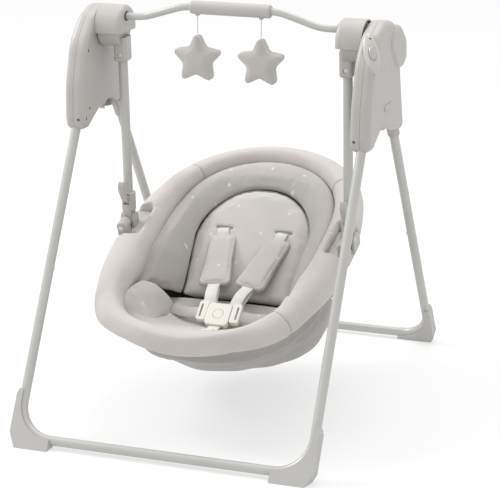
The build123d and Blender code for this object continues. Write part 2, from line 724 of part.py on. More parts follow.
def batteries():
    """Four AA cells side by side."""
    cells = []
    for i in range(4):
        across = Pos(299, 54 - (i - 1.5) * 6.6, 730.9 + (i - 1.5) * 14.6)
        cell = across * Rot(90, 0, 0) * (Cylinder(CELL_R, CELL_LEN) + Pos(0, 0, CELL_LEN / 2) * Cylinder(2.6, 1.2))
        cells.append(cell)
    return Compound(children=cells)


def control_panel():
    """Egg-shaped bezel on the front corner, with an opening for the button and one for the light."""
    behind = panel_place().location * Pos(0, 0, -60) * Box(200, 200, 120)
    bezel = panel_blank() - behind
    bezel -= power_button_blank(0.5)
    bezel -= panel_place().location * Pos(0, 27, 4) * Cylinder(2.0, 20)
    return largest(bezel)


def power_button():
    button = power_button_blank()
    crown = button.faces().sort_by(Axis(PANEL_CENTRE, panel_place().z_dir))[-1].edges()
    return soften(button, crown, 2.5)


def indicator_light():
    return panel_place().location * Pos(0, 27, 3.2) * Cylinder(1.9, 8.0)


def circuit_board():
    """Control board behind the panel, upright in the housing."""
    board = box_between((299, 300.6), (-84, -34), (700, 752))
    chips = [box_between((300.6, 303), (y, y + 10), (z, z + 10)) for y, z in ((-70, 706), (-50, 722))]
    for chip in chips:
        board += chip
    return board


COIL_Z = PIVOT_Z - 27.0


def drive_coil():
    """Electromagnet that nudges the swing hub's magnet: a bobbin and its winding."""
    bobbin = ring_x(PIVOT_Y, COIL_Z, 13, 4, HOUSING_IN + HOUSING_WALL, HOUSING_IN + 16)
    bobbin -= ring_x(PIVOT_Y, COIL_Z, 14, 10.5, HOUSING_IN + 5, HOUSING_IN + 13.5)
    winding = ring_x(PIVOT_Y, COIL_Z, 12.6, 10.5, HOUSING_IN + 5, HOUSING_IN + 13.5)
    return Compound(children=[bobbin.solids()[0], winding.solids()[0]])


def drive_magnet():
    return rod_x(PIVOT_Y, COIL_Z, 7, HOUSING_IN - 9, HOUSING_IN - 3.4)


def housing_screws():
    """Screws sunk in the inner faces and the fronts of both housings."""
    heads = [head for head in screws(SCREW_HEAD_R, 1.0, SCREW_DEPTH - 1.0)]
    x, y, z = FRONT_SCREW
    slots = [Pos(x, y + 0.6, z) * Box(4, 1, 0.8)]
    slots += [Pos(HOUSING_IN + 0.6, y, z) * Box(1, 4, 0.8) for y, z in SIDE_SCREWS_YZ]
    return Compound(children=[largest(head - slot) for head, slot in zip(heads, slots)])


# --- toy bar -----------------------------------------------------------------------------------
def toy_bar():
    ends = COVER_END + 4
    corners = [(-ends, BAR_Z), (-ends + 42, BAR_Z), (-100, BAR_CREST_Z), (100, BAR_CREST_Z), (ends - 42, BAR_Z),
               (ends, BAR_Z)]
    path = FilletPolyline(*[(x, BAR_Y, z) for x, z in corners], radius=110)
    start = Plane(origin=path @ 0, z_dir=path % 0)
    return sweep(start * Circle(BAR_R), path=path)


def bar_sleeve():
    """Thicker grip on the bar's middle, with a lug for each toy."""
    sleeve = rod_x(BAR_Y, BAR_CREST_Z, 13.5, -84, 84)
    sleeve = soften(sleeve, sleeve.edges().filter_by(GeomType.CIRCLE), 5)
    for x in TOY_X:
        sleeve += Pos(x, BAR_Y, BAR_CREST_Z - 13.5) * Cylinder(4.5, 5)
    sleeve -= rod_x(BAR_Y, BAR_CREST_Z, BAR_R + 0.02, -90, 90)
    return largest(sleeve)


STRING_TOP_Z = BAR_CREST_Z - 16.6
STAR_TOP_Z = STRING_TOP_Z - STRING_LEN


def toy_string(x):
    return Pos(x, BAR_Y, STRING_TOP_Z - STRING_LEN / 2) * Cylinder(STRING_R, STRING_LEN)


def toy_star(x):
    """Plush five-pointed star."""
    points = []
    for i in range(10):
        radius = STAR_R if i % 2 == 0 else STAR_R * 0.56
        angle = radians(90 + 36 * i)
        points.append((radius * cos(angle), radius * sin(angle)))
    face = make_face(Polyline(*points, close=True))
    face = fillet(face.vertices(), 7)
    star = extrude(Plane.XZ * face, amount=STAR_THICK / 2, both=True)
    star = soften(star, star.faces().sort_by(Axis.Y)[0].edges() + star.faces().sort_by(Axis.Y)[-1].edges(), 6)
    top = star.bounding_box().max.Z
    return Pos(x, BAR_Y, STAR_TOP_Z - 0.4 - top) * star


# --- seat ring, clamps and rim -------------------------------------------------------------------
def recline_pivot():
    """The recline pivot in the seat's local (u, n)."""
    local = seat_plane().to_local_coords(Vector(ARM_X, arm_axis_y(RECLINE_Z), RECLINE_Z))
    return local.Y, local.Z


def seat_ring():
    return around_ring(RING_TUBE_R, RING_TUBE_R)


def seat_clamp():
    """Plastic clamp on the ring tube, with two ears for the arm's eye and a round boss in front."""
    u, n = recline_pivot()
    slab = Pos(ARM_X - 13, u, 2) * extrude(RectangleRounded(46, 100, 12), amount=11, both=True)
    slab = soften(slab, slab.faces().sort_by(Axis.Z)[-1].edges(), 3)
    for side in (-1, 1):
        x0 = ARM_X + side * 12 - 2.5
        ear = rod_x(u, n, 13.0, x0, x0 + 5)
        foot = Pos(x0 + 2.5, u, n / 2) * Box(5, 26, n)
        slab += ear + foot
    boss = Pos(ARM_X, u - 32, n + 4) * Rot(90, 0, 0) * Cylinder(11.5, 24)
    boss = soften(boss, boss.faces().sort_by(Axis.Y)[0].edges(), 2)
    slab += boss + Pos(ARM_X, u - 32, n / 2) * Box(20, 22, n)
    slab -= rod_x(u, n, 14.2, ARM_X - 9.4, ARM_X + 9.4)
    slab -= rod_x(u, n, RECLINE_PIN_R, ARM_X - 16, ARM_X + 16)
    slab -= around_ring(RING_TUBE_R + 0.05, RING_TUBE_R + 0.05)
    return largest(slab)


def recline_pin():
    u, n = recline_pivot()
    pin = rod_x(u, n, RECLINE_PIN_R, ARM_X - 14.5, ARM_X + 14.5)
    return pin


def clamp_screw():
    u, n = recline_pivot()
    head = Pos(ARM_X, u - 45, n + 4) * Rot(90, 0, 0) * Cylinder(5.2, 2.0)
    slots = Pos(ARM_X, u - 46, n + 4) * Box(6, 1, 1.2) + Pos(ARM_X, u - 46, n + 4) * Box(1.2, 1, 6)
    return head - slots


def clamp_room():
    """Notch in the padded rim for the clamp and the arm's foot."""
    u, n = recline_pivot()
    return Pos(ARM_X + 6, u - 2, 30) * extrude(RectangleRounded(90, 112, 12), amount=46, both=True)


def bumper():
    """Padded rim round the ring tube, notched at each clamp."""
    rim = around_ring(BUMPER_W, BUMPER_H) - around_ring(RING_TUBE_R + SOFT_GAP, RING_TUBE_R + SOFT_GAP)
    notch = clamp_room()
    return largest(rim - notch - mirror_x(notch))


def build_stand():
    for side, lean, seam, top, name in ((-1, FRONT_LEAN, FRONT_SEAM_Z, FRONT_LEG_TOP_Z, "front"),
                                        (1, REAR_LEAN, REAR_SEAM_Z, FOLD_Z - 12, "rear")):
        save(f"{name}_base_tube", base_tube(side, lean, seam))
        save(f"{name}_legs", both(leg_tube(side, lean, seam, top)))
        save(f"{name}_feet", both(foot_cap(side, lean)))
        save_sides(f"{name}_snap_button", snap_button(side, lean, seam))
    save("rear_knuckles", both(leg_knuckle()))


def build_housings():
    outer, inner = housing_halves(True)
    save("housing_outer_right", outer)
    save("housing_inner_right", inner)
    outer, inner = housing_halves(False)
    save("housing_outer_left", mirror_x(outer))
    save("housing_inner_left", mirror_x(inner))
    door, tray = battery_shells()
    save("battery_door", door)
    save("battery_tray", tray)
    save("rear_cap_left", mirror_x(largest(battery_bulge() - battery_bulge(-BULGE_WALL))))
    save("batteries", batteries())
    save("control_panel", control_panel())
    save("power_button", power_button())
    save("indicator_light", indicator_light())
    save("circuit_board", circuit_board())
    save("drive_coil", drive_coil())
    save("housing_screws", both(housing_screws()))
    save_sides("fold_button", fold_button())
    save("fold_pins", both(fold_pin()))


def build_swing():
    save("hub_covers", both(hub_cover()))
    save("swing_shafts", both(swing_shaft()))
    save("arm_hubs", both(arm_hub()))
    save("hub_bearings", both(hub_bearing()))
    save("hub_screws", both(hub_screw()))
    save("drive_magnet", drive_magnet())
    save("arm_tubes", both(arm_tube()))
    save("arm_sockets", both(arm_socket()))
    save_sides("recline_lever", recline_lever())


def build_toy_bar():
    save("toy_bar", toy_bar())
    save("toy_bar_sleeve", bar_sleeve())
    save("toy_bar_bushes", both(bar_bush()))
    for x, side in zip(TOY_X, ("left", "right")):
        save(f"toy_string_{side}", toy_string(x))
        save(f"toy_star_{side}", toy_star(x))


def build_seat():
    save("seat_ring", in_seat(seat_ring()))
    save("seat_clamps", both(in_seat(seat_clamp())))
    save("recline_pins", both(in_seat(recline_pin())))
    save("clamp_screws", both(in_seat(clamp_screw())))
    save("bumper", in_seat(bumper()))
    save("seat_sling", in_seat(seat_sling()))
    save("head_bolster", in_seat(head_bolster()))
    save("back_pad", in_seat(back_pad()))
    save("seat_cushion", in_seat(seat_cushion()))
    save("thigh_wings", both(in_seat(thigh_wing())))


def build_harness():
    save("shoulder_pads", both(in_seat(shoulder_pad(1))))
    save("harness_webbing", in_seat(harness_webbing()))
    save("buckle_clips", both(in_seat(buckle_clip(1))))
    save("buckle_body", in_seat(buckle_body()))
    save("buckle_button", in_seat(buckle_button()))


if __name__ == "__main__":
    os.makedirs("parts", exist_ok=True)
    build_stand()
    build_housings()
    build_swing()
    build_toy_bar()
    build_seat()
    build_harness()
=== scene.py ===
import json
from math import atan2, ceil, cos, degrees, hypot, pi, radians, sin

import bmesh
import bpy
import numpy as np
from mathutils import Matrix, Vector
from mathutils.bvhtree import BVHTree
from mathutils.kdtree import KDTree


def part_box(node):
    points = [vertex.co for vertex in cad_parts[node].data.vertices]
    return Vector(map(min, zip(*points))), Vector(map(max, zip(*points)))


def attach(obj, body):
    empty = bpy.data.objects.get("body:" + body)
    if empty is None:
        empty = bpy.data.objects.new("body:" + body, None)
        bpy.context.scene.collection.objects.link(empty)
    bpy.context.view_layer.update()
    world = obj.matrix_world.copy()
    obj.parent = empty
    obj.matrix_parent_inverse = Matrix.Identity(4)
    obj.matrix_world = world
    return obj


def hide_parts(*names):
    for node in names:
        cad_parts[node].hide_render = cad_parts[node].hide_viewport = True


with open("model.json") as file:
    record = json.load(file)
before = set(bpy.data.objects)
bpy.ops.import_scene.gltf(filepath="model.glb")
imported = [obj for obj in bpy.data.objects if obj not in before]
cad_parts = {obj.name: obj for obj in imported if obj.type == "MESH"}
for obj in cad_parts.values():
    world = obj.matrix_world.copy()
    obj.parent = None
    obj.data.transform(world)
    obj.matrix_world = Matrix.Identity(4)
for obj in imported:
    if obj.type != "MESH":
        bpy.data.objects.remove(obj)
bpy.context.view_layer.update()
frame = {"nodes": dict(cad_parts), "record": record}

SIDES = ((-1, "left"), (1, "right"))

# The seat is built in its ring's own coordinates: w across, u towards the head end, n out of its
# top.  Its middle and its size come from the frame.
SEAT_TILT = radians(19.4)
RING_LOW, RING_HIGH = (Vector(corner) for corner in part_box("seat_ring"))
SEAT = Matrix.Translation((RING_LOW + RING_HIGH) / 2) @ Matrix.Rotation(SEAT_TILT, 4, "X")
RING_R = 0.007                              # radius of the ring's steel tube
RING_WIDE = (RING_HIGH.x - RING_LOW.x) / 2 - RING_R
RING_LONG = ((RING_HIGH.y - RING_LOW.y) / 2 - RING_R) / cos(SEAT_TILT)
RING_END_R = RING_LONG - 0.140              # radius of the oval's two round ends
RIM_W = (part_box("bumper")[1][0] - RING_HIGH.x) + RING_R     # half width of the padded rim


# --- small tools ---------------------------------------------------------------------------------
def seat(w, u, n):
    """A point given in seat coordinates."""
    return SEAT @ Vector((w, u, n))


def to_seat(point):
    """Seat coordinates of a point."""
    return SEAT.inverted() @ Vector(point)


def new_piece(name, points, faces, body, mat, slot, smooth=True):
    """A mesh piece that rides on a body."""
    mesh = bpy.data.meshes.new(name)
    mesh.from_pydata([tuple(p) for p in points], [], faces)
    mesh.validate()
    obj = bpy.data.objects.new(name, mesh)
    bpy.context.scene.collection.objects.link(obj)
    fix_normals(obj)
    mesh.polygons.foreach_set("use_smooth", [smooth] * len(mesh.polygons))
    mesh.materials.append(mat)
    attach(obj, body)
    return obj


def fix_normals(obj):
    """Weld doubled points and turn every face outwards."""
    bm = bmesh.new()
    bm.from_mesh(obj.data)
    bmesh.ops.remove_doubles(bm, verts=bm.verts, dist=1e-6)
    bmesh.ops.recalc_face_normals(bm, faces=bm.faces)
    bm.to_mesh(obj.data)
    bm.free()


def lofted(rings, loop=False):
    """Points and faces of closed rings joined one to the next, capped unless they loop round."""
    count = len(rings[0])
    points = [p for ring in rings for p in ring]
    faces = []
    for i in range(len(rings) if loop else len(rings) - 1):
        a, b = i * count, (i + 1) % len(rings) * count
        for j in range(count):
            k = (j + 1) % count
            faces.append((a + j, a + k, b + k, b + j))
    if not loop:
        faces.append(tuple(range(count)))
        faces.append(tuple(range(len(points) - count, len(points))))
    return points, faces


def apply(obj, kind, **settings):
    """Add a modifier and apply it."""
    modifier = obj.modifiers.new(kind.lower(), kind)
    for key, value in settings.items():
        setattr(modifier, key, value)
    bpy.context.view_layer.update()
    graph = bpy.context.evaluated_depsgraph_get()
    mesh = bpy.data.meshes.new_from_object(obj.evaluated_get(graph))
    obj.modifiers.remove(modifier)
    mesh.name = obj.data.name
    obj.data = mesh
    mesh.polygons.foreach_set("use_smooth", [True] * len(mesh.polygons))


def read_points(mesh):
    """The mesh's points as an array."""
    flat = np.empty(len(mesh.vertices) * 3)
    mesh.vertices.foreach_get("co", flat)
    return flat.reshape(-1, 3)


def write_points(mesh, points):
    """Put an array of points back into the mesh."""
    mesh.vertices.foreach_set("co", points.ravel())
    mesh.update()


def puff(obj, cap, pressure=4.0, voxel=0.005, levels=1, shape=None):
    """Stuff a closed piece: remesh, swell it as cloth under pressure, no point further than cap."""
    apply(obj, "REMESH", mode="VOXEL", voxel_size=voxel)
    if shape:
        shape(obj)
    apply(obj, "SMOOTH", iterations=2, factor=0.5)
    swell(obj, cap, pressure)
    apply(obj, "SUBSURF", levels=levels)
    return obj


SIM_FRAMES = 20


def swell(obj, cap, pressure):
    """Blow a piece up as cloth, and keep of each point's move no more than cap."""
    start = read_points(obj.data)
    cloth = obj.modifiers.new("cloth", "CLOTH")
    cloth.settings.use_pressure = True
    cloth.settings.uniform_pressure_force = pressure
    cloth.settings.effector_weights.gravity = 0
    for number in range(1, SIM_FRAMES + 1):
        bpy.context.scene.frame_set(number)
    graph = bpy.context.evaluated_depsgraph_get()
    swollen = obj.evaluated_get(graph).to_mesh()
    move = read_points(swollen) - start
    obj.evaluated_get(graph).to_mesh_clear()
    obj.modifiers.remove(cloth)
    bpy.context.scene.frame_set(1)
    far = np.linalg.norm(move, axis=1, keepdims=True)
    write_points(obj.data, start + move * np.minimum(1, cap / np.maximum(far, 1e-9)))


def copy_node(node, name, mat, body):
    """A free copy of a CAD node's mesh, which then stands for it."""
    source = frame["nodes"][node]
    obj = bpy.data.objects.new(name, source.data.copy())
    bpy.context.scene.collection.objects.link(obj)
    obj.data.materials.clear()
    obj.data.materials.append(mat)
    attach(obj, body)
    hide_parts(node)
    return obj


def tree_of(obj):
    """The piece's surface, ready for nearest points and rays."""
    bm = bmesh.new()
    bm.from_mesh(obj.data)
    tree = BVHTree.FromBMesh(bm)
    bm.free()
    return tree


def snapped(points, tree, lift=0.0):
    """The nearest points on a surface, lifted off it along its normal."""
    result = []
    for point in points:
        place, normal, _, _ = tree.find_nearest(point)
        result.append(place + normal * lift)
    return result


def interpolate(value, pairs):
    """A curve's height at a value, from its (value, height) points in rising order."""
    return float(np.interp(value, [p[0] for p in pairs], [p[1] for p in pairs]))


def even(points, step, closed=False):
    """The same line with points an even step apart."""
    line = points + [points[0]] if closed else points
    steps = [(b - a).length for a, b in zip(line, line[1:])]
    count = max(2, ceil(sum(steps) / step))
    spots = np.linspace(0, sum(steps), count + 1)
    along = np.concatenate([[0], np.cumsum(steps)])
    coords = [np.interp(spots, along, [p[axis] for p in line]) for axis in range(3)]
    result = [Vector(p) for p in zip(*coords)]
    return result[:-1] if closed else result


def point_tree(points):
    """Points ready for finding the nearest one."""
    tree = KDTree(len(points))
    for index, point in enumerate(points):
        tree.insert(point, index)
    tree.balance()
    return tree


def crease(obj, line, width, depth):
    """Press a sewn groove into a piece along a line of points."""
    tree = point_tree(line)
    for vertex, normal in zip(obj.data.vertices, [v.normal.copy() for v in obj.data.vertices]):
        distance = tree.find(vertex.co)[2]
        if distance < width:
            vertex.co -= normal * depth * (1 - distance / width) ** 2
    obj.data.update()


def frames_along(line, closed=False):
    """Two sideways vectors at each point of a line, without twist."""
    count = len(line)
    result = []
    side = None
    for i, point in enumerate(line):
        ahead = line[(i + 1) % count] if closed or i < count - 1 else point
        behind = line[i - 1] if closed or i > 0 else point
        tangent = (ahead - behind).normalized()
        if side is None:
            side = tangent.orthogonal().normalized()
        side = (side - tangent * side.dot(tangent)).normalized()
        result.append((side, tangent.cross(side)))
    return result


def turns(count):
    """Even angles once round a circle."""
    return [2 * pi * k / count for k in range(count)]


def tube(name, line, radius, body, mat, slot, closed=False, sides=8):
    """A round cord or seam along a line."""
    rings = []
    for point, (a, b) in zip(line, frames_along(line, closed)):
        rings.append([point + (a * cos(turn) + b * sin(turn)) * radius for turn in turns(sides)])
    return new_piece(name, *lofted(rings, closed), body, mat, slot)


def ribbon(name, line, across, width, thick, body, mat, slot):
    """Flat webbing with rounded edges along a line; across gives its width direction at each point."""
    rings = []
    for i, (point, side) in enumerate(zip(line, across)):
        ahead = line[min(i + 1, len(line) - 1)] - line[max(i - 1, 0)]
        side = (side - ahead * side.dot(ahead) / ahead.length_squared).normalized()
        up = ahead.cross(side).normalized()
        half, edge = width / 2, thick / 2
        corners = [(-half, 0), (-half + edge, edge), (half - edge, edge), (half, 0), (half - edge, -edge),
                   (-half + edge, -edge)]
        rings.append([point + side * x + up * y for x, y in corners])
    return new_piece(name, *lofted(rings), body, mat, slot)


def smooth_line(points, step):
    """A smooth curve through a few points, sampled evenly."""
    curve = bpy.data.curves.new("route", "CURVE")
    curve.dimensions = "3D"
    spline = curve.splines.new("BEZIER")
    spline.bezier_points.add(len(points) - 1)
    for spot, point in zip(spline.bezier_points, points):
        spot.co = point
        spot.handle_left_type = spot.handle_right_type = "AUTO"
    curve.resolution_u = 16
    holder = bpy.data.objects.new("route", curve)
    mesh = bpy.data.meshes.new_from_object(holder)
    line = [v.co.copy() for v in mesh.vertices]
    bpy.data.objects.remove(holder)
    bpy.data.meshes.remove(mesh)
    return even(line, step)


# --- materials -----------------------------------------------------------------------------------
class Nodes:
    """A material's node tree with short calls."""

    def __init__(self, name, color, rough):
        self.mat = bpy.data.materials.new(name)
        self.mat.use_nodes = True
        self.tree = self.mat.node_tree
        self.shader = self.tree.nodes["Principled BSDF"]
        self.shader.inputs["Base Color"].default_value = (*color, 1)
        self.shader.inputs["Roughness"].default_value = rough
        self.color = color
        self.place = self.add("ShaderNodeTexCoord").outputs["Object"]

    def add(self, kind, **settings):
        node = self.tree.nodes.new(kind)
        for key, value in settings.items():
            setattr(node, key, value)
        return node

    def link(self, source, target):
        self.tree.links.new(source, target)

    def math(self, operation, first, second=None, third=None):
        node = self.add("ShaderNodeMath", operation=operation)
        for socket, value in zip(node.inputs, (first, second, third)):
            if value is None:
                continue
            if isinstance(value, (int, float)):
                socket.default_value = value
            else:
                self.link(value, socket)
        return node.outputs[0]

    def noise(self, scale, detail=2.0):
        node = self.add("ShaderNodeTexNoise")
        node.inputs["Scale"].default_value = scale
        node.inputs["Detail"].default_value = detail
        self.link(self.place, node.inputs["Vector"])
        return node.outputs[0]

    def tint(self, factor, shades):
        """Colour ramp between two shades of the base colour."""
        ramp = self.add("ShaderNodeValToRGB")
        for stop, (position, shade) in zip(ramp.color_ramp.elements, shades):
            stop.position = position
            stop.color = (*(min(1, c * shade) for c in self.color), 1)
        self.link(factor, ramp.inputs["Fac"])
        return ramp.outputs["Color"]

    def base(self, color):
        self.link(color, self.shader.inputs["Base Color"])

    def bump(self, height, distance, strength=1.0):
        node = self.add("ShaderNodeBump")
        node.inputs["Distance"].default_value = distance
        node.inputs["Strength"].default_value = strength
        self.link(height, node.inputs["Height"])
        self.link(node.outputs["Normal"], self.shader.inputs["Normal"])

    def rough_between(self, factor, low, high):
        node = self.add("ShaderNodeMapRange")
        node.inputs["To Min"].default_value = low
        node.inputs["To Max"].default_value = high
        self.link(factor, node.inputs["Value"])
        self.link(node.outputs[0], self.shader.inputs["Roughness"])

    def sheen(self, weight, rough=0.5):
        self.shader.inputs["Sheen Weight"].default_value = weight
        self.shader.inputs["Sheen Roughness"].default_value = rough


def moulded(name, color, rough=0.45, grain=0.00004):
    """Moulded plastic: fine spark-eroded grain and faint flow variation."""
    n = Nodes(name, color, rough)
    n.base(n.tint(n.noise(9, 3), ((0.35, 0.975), (0.65, 1.015))))
    n.rough_between(n.noise(60, 2), rough - 0.06, rough + 0.08)
    n.bump(n.noise(1700, 1), grain)
    return n.mat


def coated(name, color, rough=0.35):
    """Powder-coated steel tube: slight orange peel."""
    n = Nodes(name, color, rough)
    n.shader.inputs["Metallic"].default_value = 0.15
    n.base(n.tint(n.noise(7, 3), ((0.35, 0.97), (0.65, 1.02))))
    n.rough_between(n.noise(45, 2), rough - 0.05, rough + 0.09)
    n.bump(n.noise(420, 1), 0.00006)
    return n.mat


def metal(name, color, rough=0.3):
    """Bare or plated metal with fine polishing marks."""
    n = Nodes(name, color, rough)
    n.shader.inputs["Metallic"].default_value = 1.0
    n.base(n.tint(n.noise(90, 3), ((0.3, 0.9), (0.7, 1.05))))
    n.rough_between(n.noise(300, 2), rough - 0.08, rough + 0.12)
    n.bump(n.noise(900, 1), 0.00003)
    return n.mat


def knit_height(n, pitch):
    """Height of a fine jersey: loops in two directions with slightly uneven yarn."""
    split = n.add("ShaderNodeSeparateXYZ")
    n.link(n.place, split.inputs[0])
    rate = 2 * pi / pitch
    across = n.math("SINE", n.math("MULTIPLY", split.outputs["X"], rate))
    upward = n.math("ADD", split.outputs["Y"], split.outputs["Z"])
    along = n.math("SINE", n.math("MULTIPLY", upward, rate))
    loops = n.math("MULTIPLY_ADD", n.math("MULTIPLY", across, along), 0.5, 0.5)
    return n.math("ADD", loops, n.math("MULTIPLY", n.noise(1400, 2), 0.8))


def fabric(name, color, pitch=0.0013, sheen=0.35, depth=0.00018, stars=False, rumple=0.0012):
    """Knitted or woven cloth: yarn relief, soft rumples and a little fading."""
    n = Nodes(name, color, 0.86)
    shade = n.tint(n.noise(14, 4), ((0.3, 0.95), (0.7, 1.03)))
    if stars:
        shade = star_print(n, shade)
    n.base(shade)
    n.sheen(sheen)
    relief = n.math("MULTIPLY", knit_height(n, pitch), depth)
    waves = n.math("MULTIPLY", n.noise(26, 2), rumple)
    n.bump(n.math("ADD", relief, waves), 1.0)
    return n.mat


STAR_CELLS = 19.0        # cells to a metre
STAR_SIZE, STAR_POINTS = 0.056, 0.026       # mean radius and how far the five points stand out, in cells
STAR_BARE = 0.35         # share of the cells without a star
STAR_SHADE, STAR_INK = (0.74, 0.73, 0.70), 0.65


def star_print(n, under):
    """Small pale five-pointed stars scattered over the cloth, one in some cells of the seat's plane."""
    turned = n.add("ShaderNodeMapping")
    turned.inputs["Rotation"].default_value = (-SEAT_TILT, 0, 0)
    turned.inputs["Scale"].default_value = (STAR_CELLS,) * 3
    n.link(n.place, turned.inputs["Vector"])
    cells = n.add("ShaderNodeTexVoronoi", voronoi_dimensions="2D")
    cells.inputs["Scale"].default_value = 1.0
    cells.inputs["Randomness"].default_value = 0.75
    n.link(turned.outputs[0], cells.inputs["Vector"])
    offset = n.add("ShaderNodeVectorMath", operation="SUBTRACT")
    n.link(turned.outputs[0], offset.inputs[0])
    n.link(cells.outputs["Position"], offset.inputs[1])
    split = n.add("ShaderNodeSeparateXYZ")
    n.link(offset.outputs[0], split.inputs[0])
    pick = n.add("ShaderNodeSeparateColor")
    n.link(cells.outputs["Color"], pick.inputs[0])
    angle = n.math("ARCTAN2", split.outputs["Y"], split.outputs["X"])
    turn = n.math("MULTIPLY_ADD", pick.outputs[0], 2 * pi, angle)
    reach = n.math("MULTIPLY_ADD", n.math("COSINE", n.math("MULTIPLY", turn, 5)), STAR_POINTS, STAR_SIZE)
    squares = [n.math("POWER", split.outputs[axis], 2) for axis in "XY"]
    inside = n.math("LESS_THAN", n.math("SQRT", n.math("ADD", *squares)), reach)
    mask = n.math("MULTIPLY", inside, n.math("GREATER_THAN", pick.outputs[1], STAR_BARE))
    mix = n.add("ShaderNodeMix", data_type="RGBA")
    n.link(n.math("MULTIPLY", mask, STAR_INK), mix.inputs["Factor"])
    n.link(under, mix.inputs[6])
    mix.inputs[7].default_value = (*STAR_SHADE, 1)
    return mix.outputs[2]


def webbing(name, color):
    """Woven webbing with a coarse, even relief."""
    n = Nodes(name, color, 0.75)
    n.base(n.tint(n.noise(60, 3), ((0.3, 0.94), (0.7, 1.02))))
    n.sheen(0.2)
    n.bump(n.math("MULTIPLY", knit_height(n, 0.0019), 0.0003), 1.0)
    return n.mat


PLASTIC = moulded("shell_plastic", (0.41, 0.394, 0.377), 0.42)
FOOT = moulded("foot_plastic", (0.42, 0.415, 0.395), 0.5)
TUBE = coated("tube_paint", (0.45, 0.445, 0.425), 0.32)
STEEL = metal("bright_steel", (0.62, 0.61, 0.6))
BUTTON = metal("button_chrome", (0.50, 0.495, 0.485), 0.22)
SCREW = metal("dark_screw", (0.13, 0.13, 0.13), 0.4)
DARK = moulded("bearing_plastic", (0.05, 0.05, 0.052), 0.5)
PANEL = moulded("panel_plastic", (0.47, 0.455, 0.438), 0.28, 0.00002)
LENS = moulded("light_lens", (0.03, 0.035, 0.04), 0.15, 0.00001)
BOARD = moulded("board", (0.02, 0.12, 0.05), 0.4)
COPPER = moulded("coil", (0.42, 0.16, 0.05), 0.35)
CELL = moulded("cells", (0.08, 0.085, 0.09), 0.35)
GRIP = moulded("bar_grip", (0.43, 0.42, 0.40), 0.45)
BUCKLE = moulded("buckle_plastic", (0.74, 0.71, 0.64), 0.3, 0.00002)
RIM_CLOTH = fabric("rim_fabric", (0.50, 0.468, 0.44), sheen=0.3)
SLING_CLOTH = fabric("sling_fabric", (0.285, 0.273, 0.257), pitch=0.0016, rumple=0.003)
PAD_CLOTH = fabric("cushion_fabric", (0.54, 0.515, 0.485), stars=True)
HEAD_CLOTH = fabric("head_fabric", (0.40, 0.38, 0.36), stars=True)
TOY_CLOTH = fabric("toy_fabric", (0.475, 0.453, 0.43), pitch=0.002, sheen=0.6, depth=0.0004)
PIPING = fabric("piping_thread", (0.30, 0.28, 0.26), pitch=0.0007, rumple=0)
THREAD = fabric("stitching", (0.40, 0.375, 0.35), pitch=0.0005, rumple=0)
SLEEVE_CLOTH = fabric("sleeve_fabric", (0.49, 0.465, 0.44), stars=True)
# Sleeve binding: a real bound edge, but its darker colour is painted shadow of the gap along the sleeve's
# edge
BINDING_WITH_PAINTED_SHADOW = fabric("binding", (0.31, 0.295, 0.275), pitch=0.0008, rumple=0)
WEB = webbing("webbing", (0.70, 0.69, 0.65))
STRING = webbing("string", (0.62, 0.61, 0.59))

NODE_MATERIALS = {
    "shell_plastic": PLASTIC, "foot_plastic": FOOT, "tube_paint": TUBE, "bright_steel": STEEL,
    "bearing_plastic": DARK, "panel_plastic": PANEL, "light_lens": LENS, "board": BOARD, "coil": COPPER,
    "cells": CELL, "bar_grip": GRIP, "buckle_plastic": BUCKLE, "rim_fabric": RIM_CLOTH,
    "sling_fabric": SLING_CLOTH, "cushion_fabric": PAD_CLOTH, "toy_fabric": TOY_CLOTH, "webbing": WEB,
    "string": STRING,
}
SPECIAL = {"power_button": BUTTON, "housing_screws": SCREW}


def dress_nodes():
    """Give every CAD node its procedural material."""
    for part in frame["record"]["subparts"]:
        obj = frame["nodes"][part["node"]]
        obj.data.materials.clear()
        obj.data.materials.append(SPECIAL.get(part["node"]) or NODE_MATERIALS[part["material_slot"]])


# --- the seat's ovals ----------------------------------------------------------------------------
OVAL_STEPS = 1440
OVAL_NEAR, OVAL_TIP = 0.006, 0.03       # how near a point counts, and the half width past the oval's tip
OVALS = {}


def oval(grow, count=220):
    """Points (w, u) on the rim's oval grown outwards, evenly spaced, from +w towards the head."""
    end_u = RING_LONG - RING_END_R
    gap = RING_WIDE - RING_END_R
    reach = (end_u ** 2 - gap ** 2) / (2 * gap)
    touch = atan2(end_u, reach)
    points = []
    for angle in turns(OVAL_STEPS):
        c, s = cos(angle), sin(angle)
        if abs(s) > sin(touch):
            centre, radius = Vector((0, end_u if s > 0 else -end_u, 0)), RING_END_R
        else:
            centre, radius = Vector((-reach if c > 0 else reach, 0, 0)), RING_WIDE + reach
        points.append(centre + Vector((c, s, 0)) * (radius + grow))
    length = sum((b - a).length for a, b in zip(points, points[1:]))
    return even(points, 1.0 / count * length, closed=True)


def oval_near(grow):
    """The grown oval with close points, worked out once for each size."""
    if grow not in OVALS:
        OVALS[grow] = oval(grow, 700)
    return OVALS[grow]


def rim_half_width(u, grow):
    """Half width of the grown oval at a place along the seat."""
    return max((p.x for p in oval_near(grow) if abs(p.y - u) < OVAL_NEAR), default=OVAL_TIP)


# --- padded rim ----------------------------------------------------------------------------------
def clamp(value):
    """The value kept between 0 and 1."""
    return max(0.0, min(1.0, value))


def ramp(value, start, end):
    """0 before start, 1 after end, and smooth between them."""
    share = clamp((value - start) / (end - start))
    return share * share * (3 - 2 * share)


# Zones of the seat, each as (start, end) in metres: those towards the front are measured as -u
FOOT_ZONE, FRONT_ZONE = (0.05, 0.24), (0.24, 0.325)
HEAD_ZONE = (0.0, 0.20)
CORNER_ACROSS, CORNER_ALONG = (0.05, 0.13), (0.08, 0.19)
HIP_FROM, HIP_TO, HIP_INSIDE = (-0.02, 0.06), (0.15, 0.21), (0.0, 0.02)


def foot_share(u):
    """How much of the rim's foot end a place belongs to: 0 at the hips, 1 at the front."""
    return ramp(-u, *FOOT_ZONE)


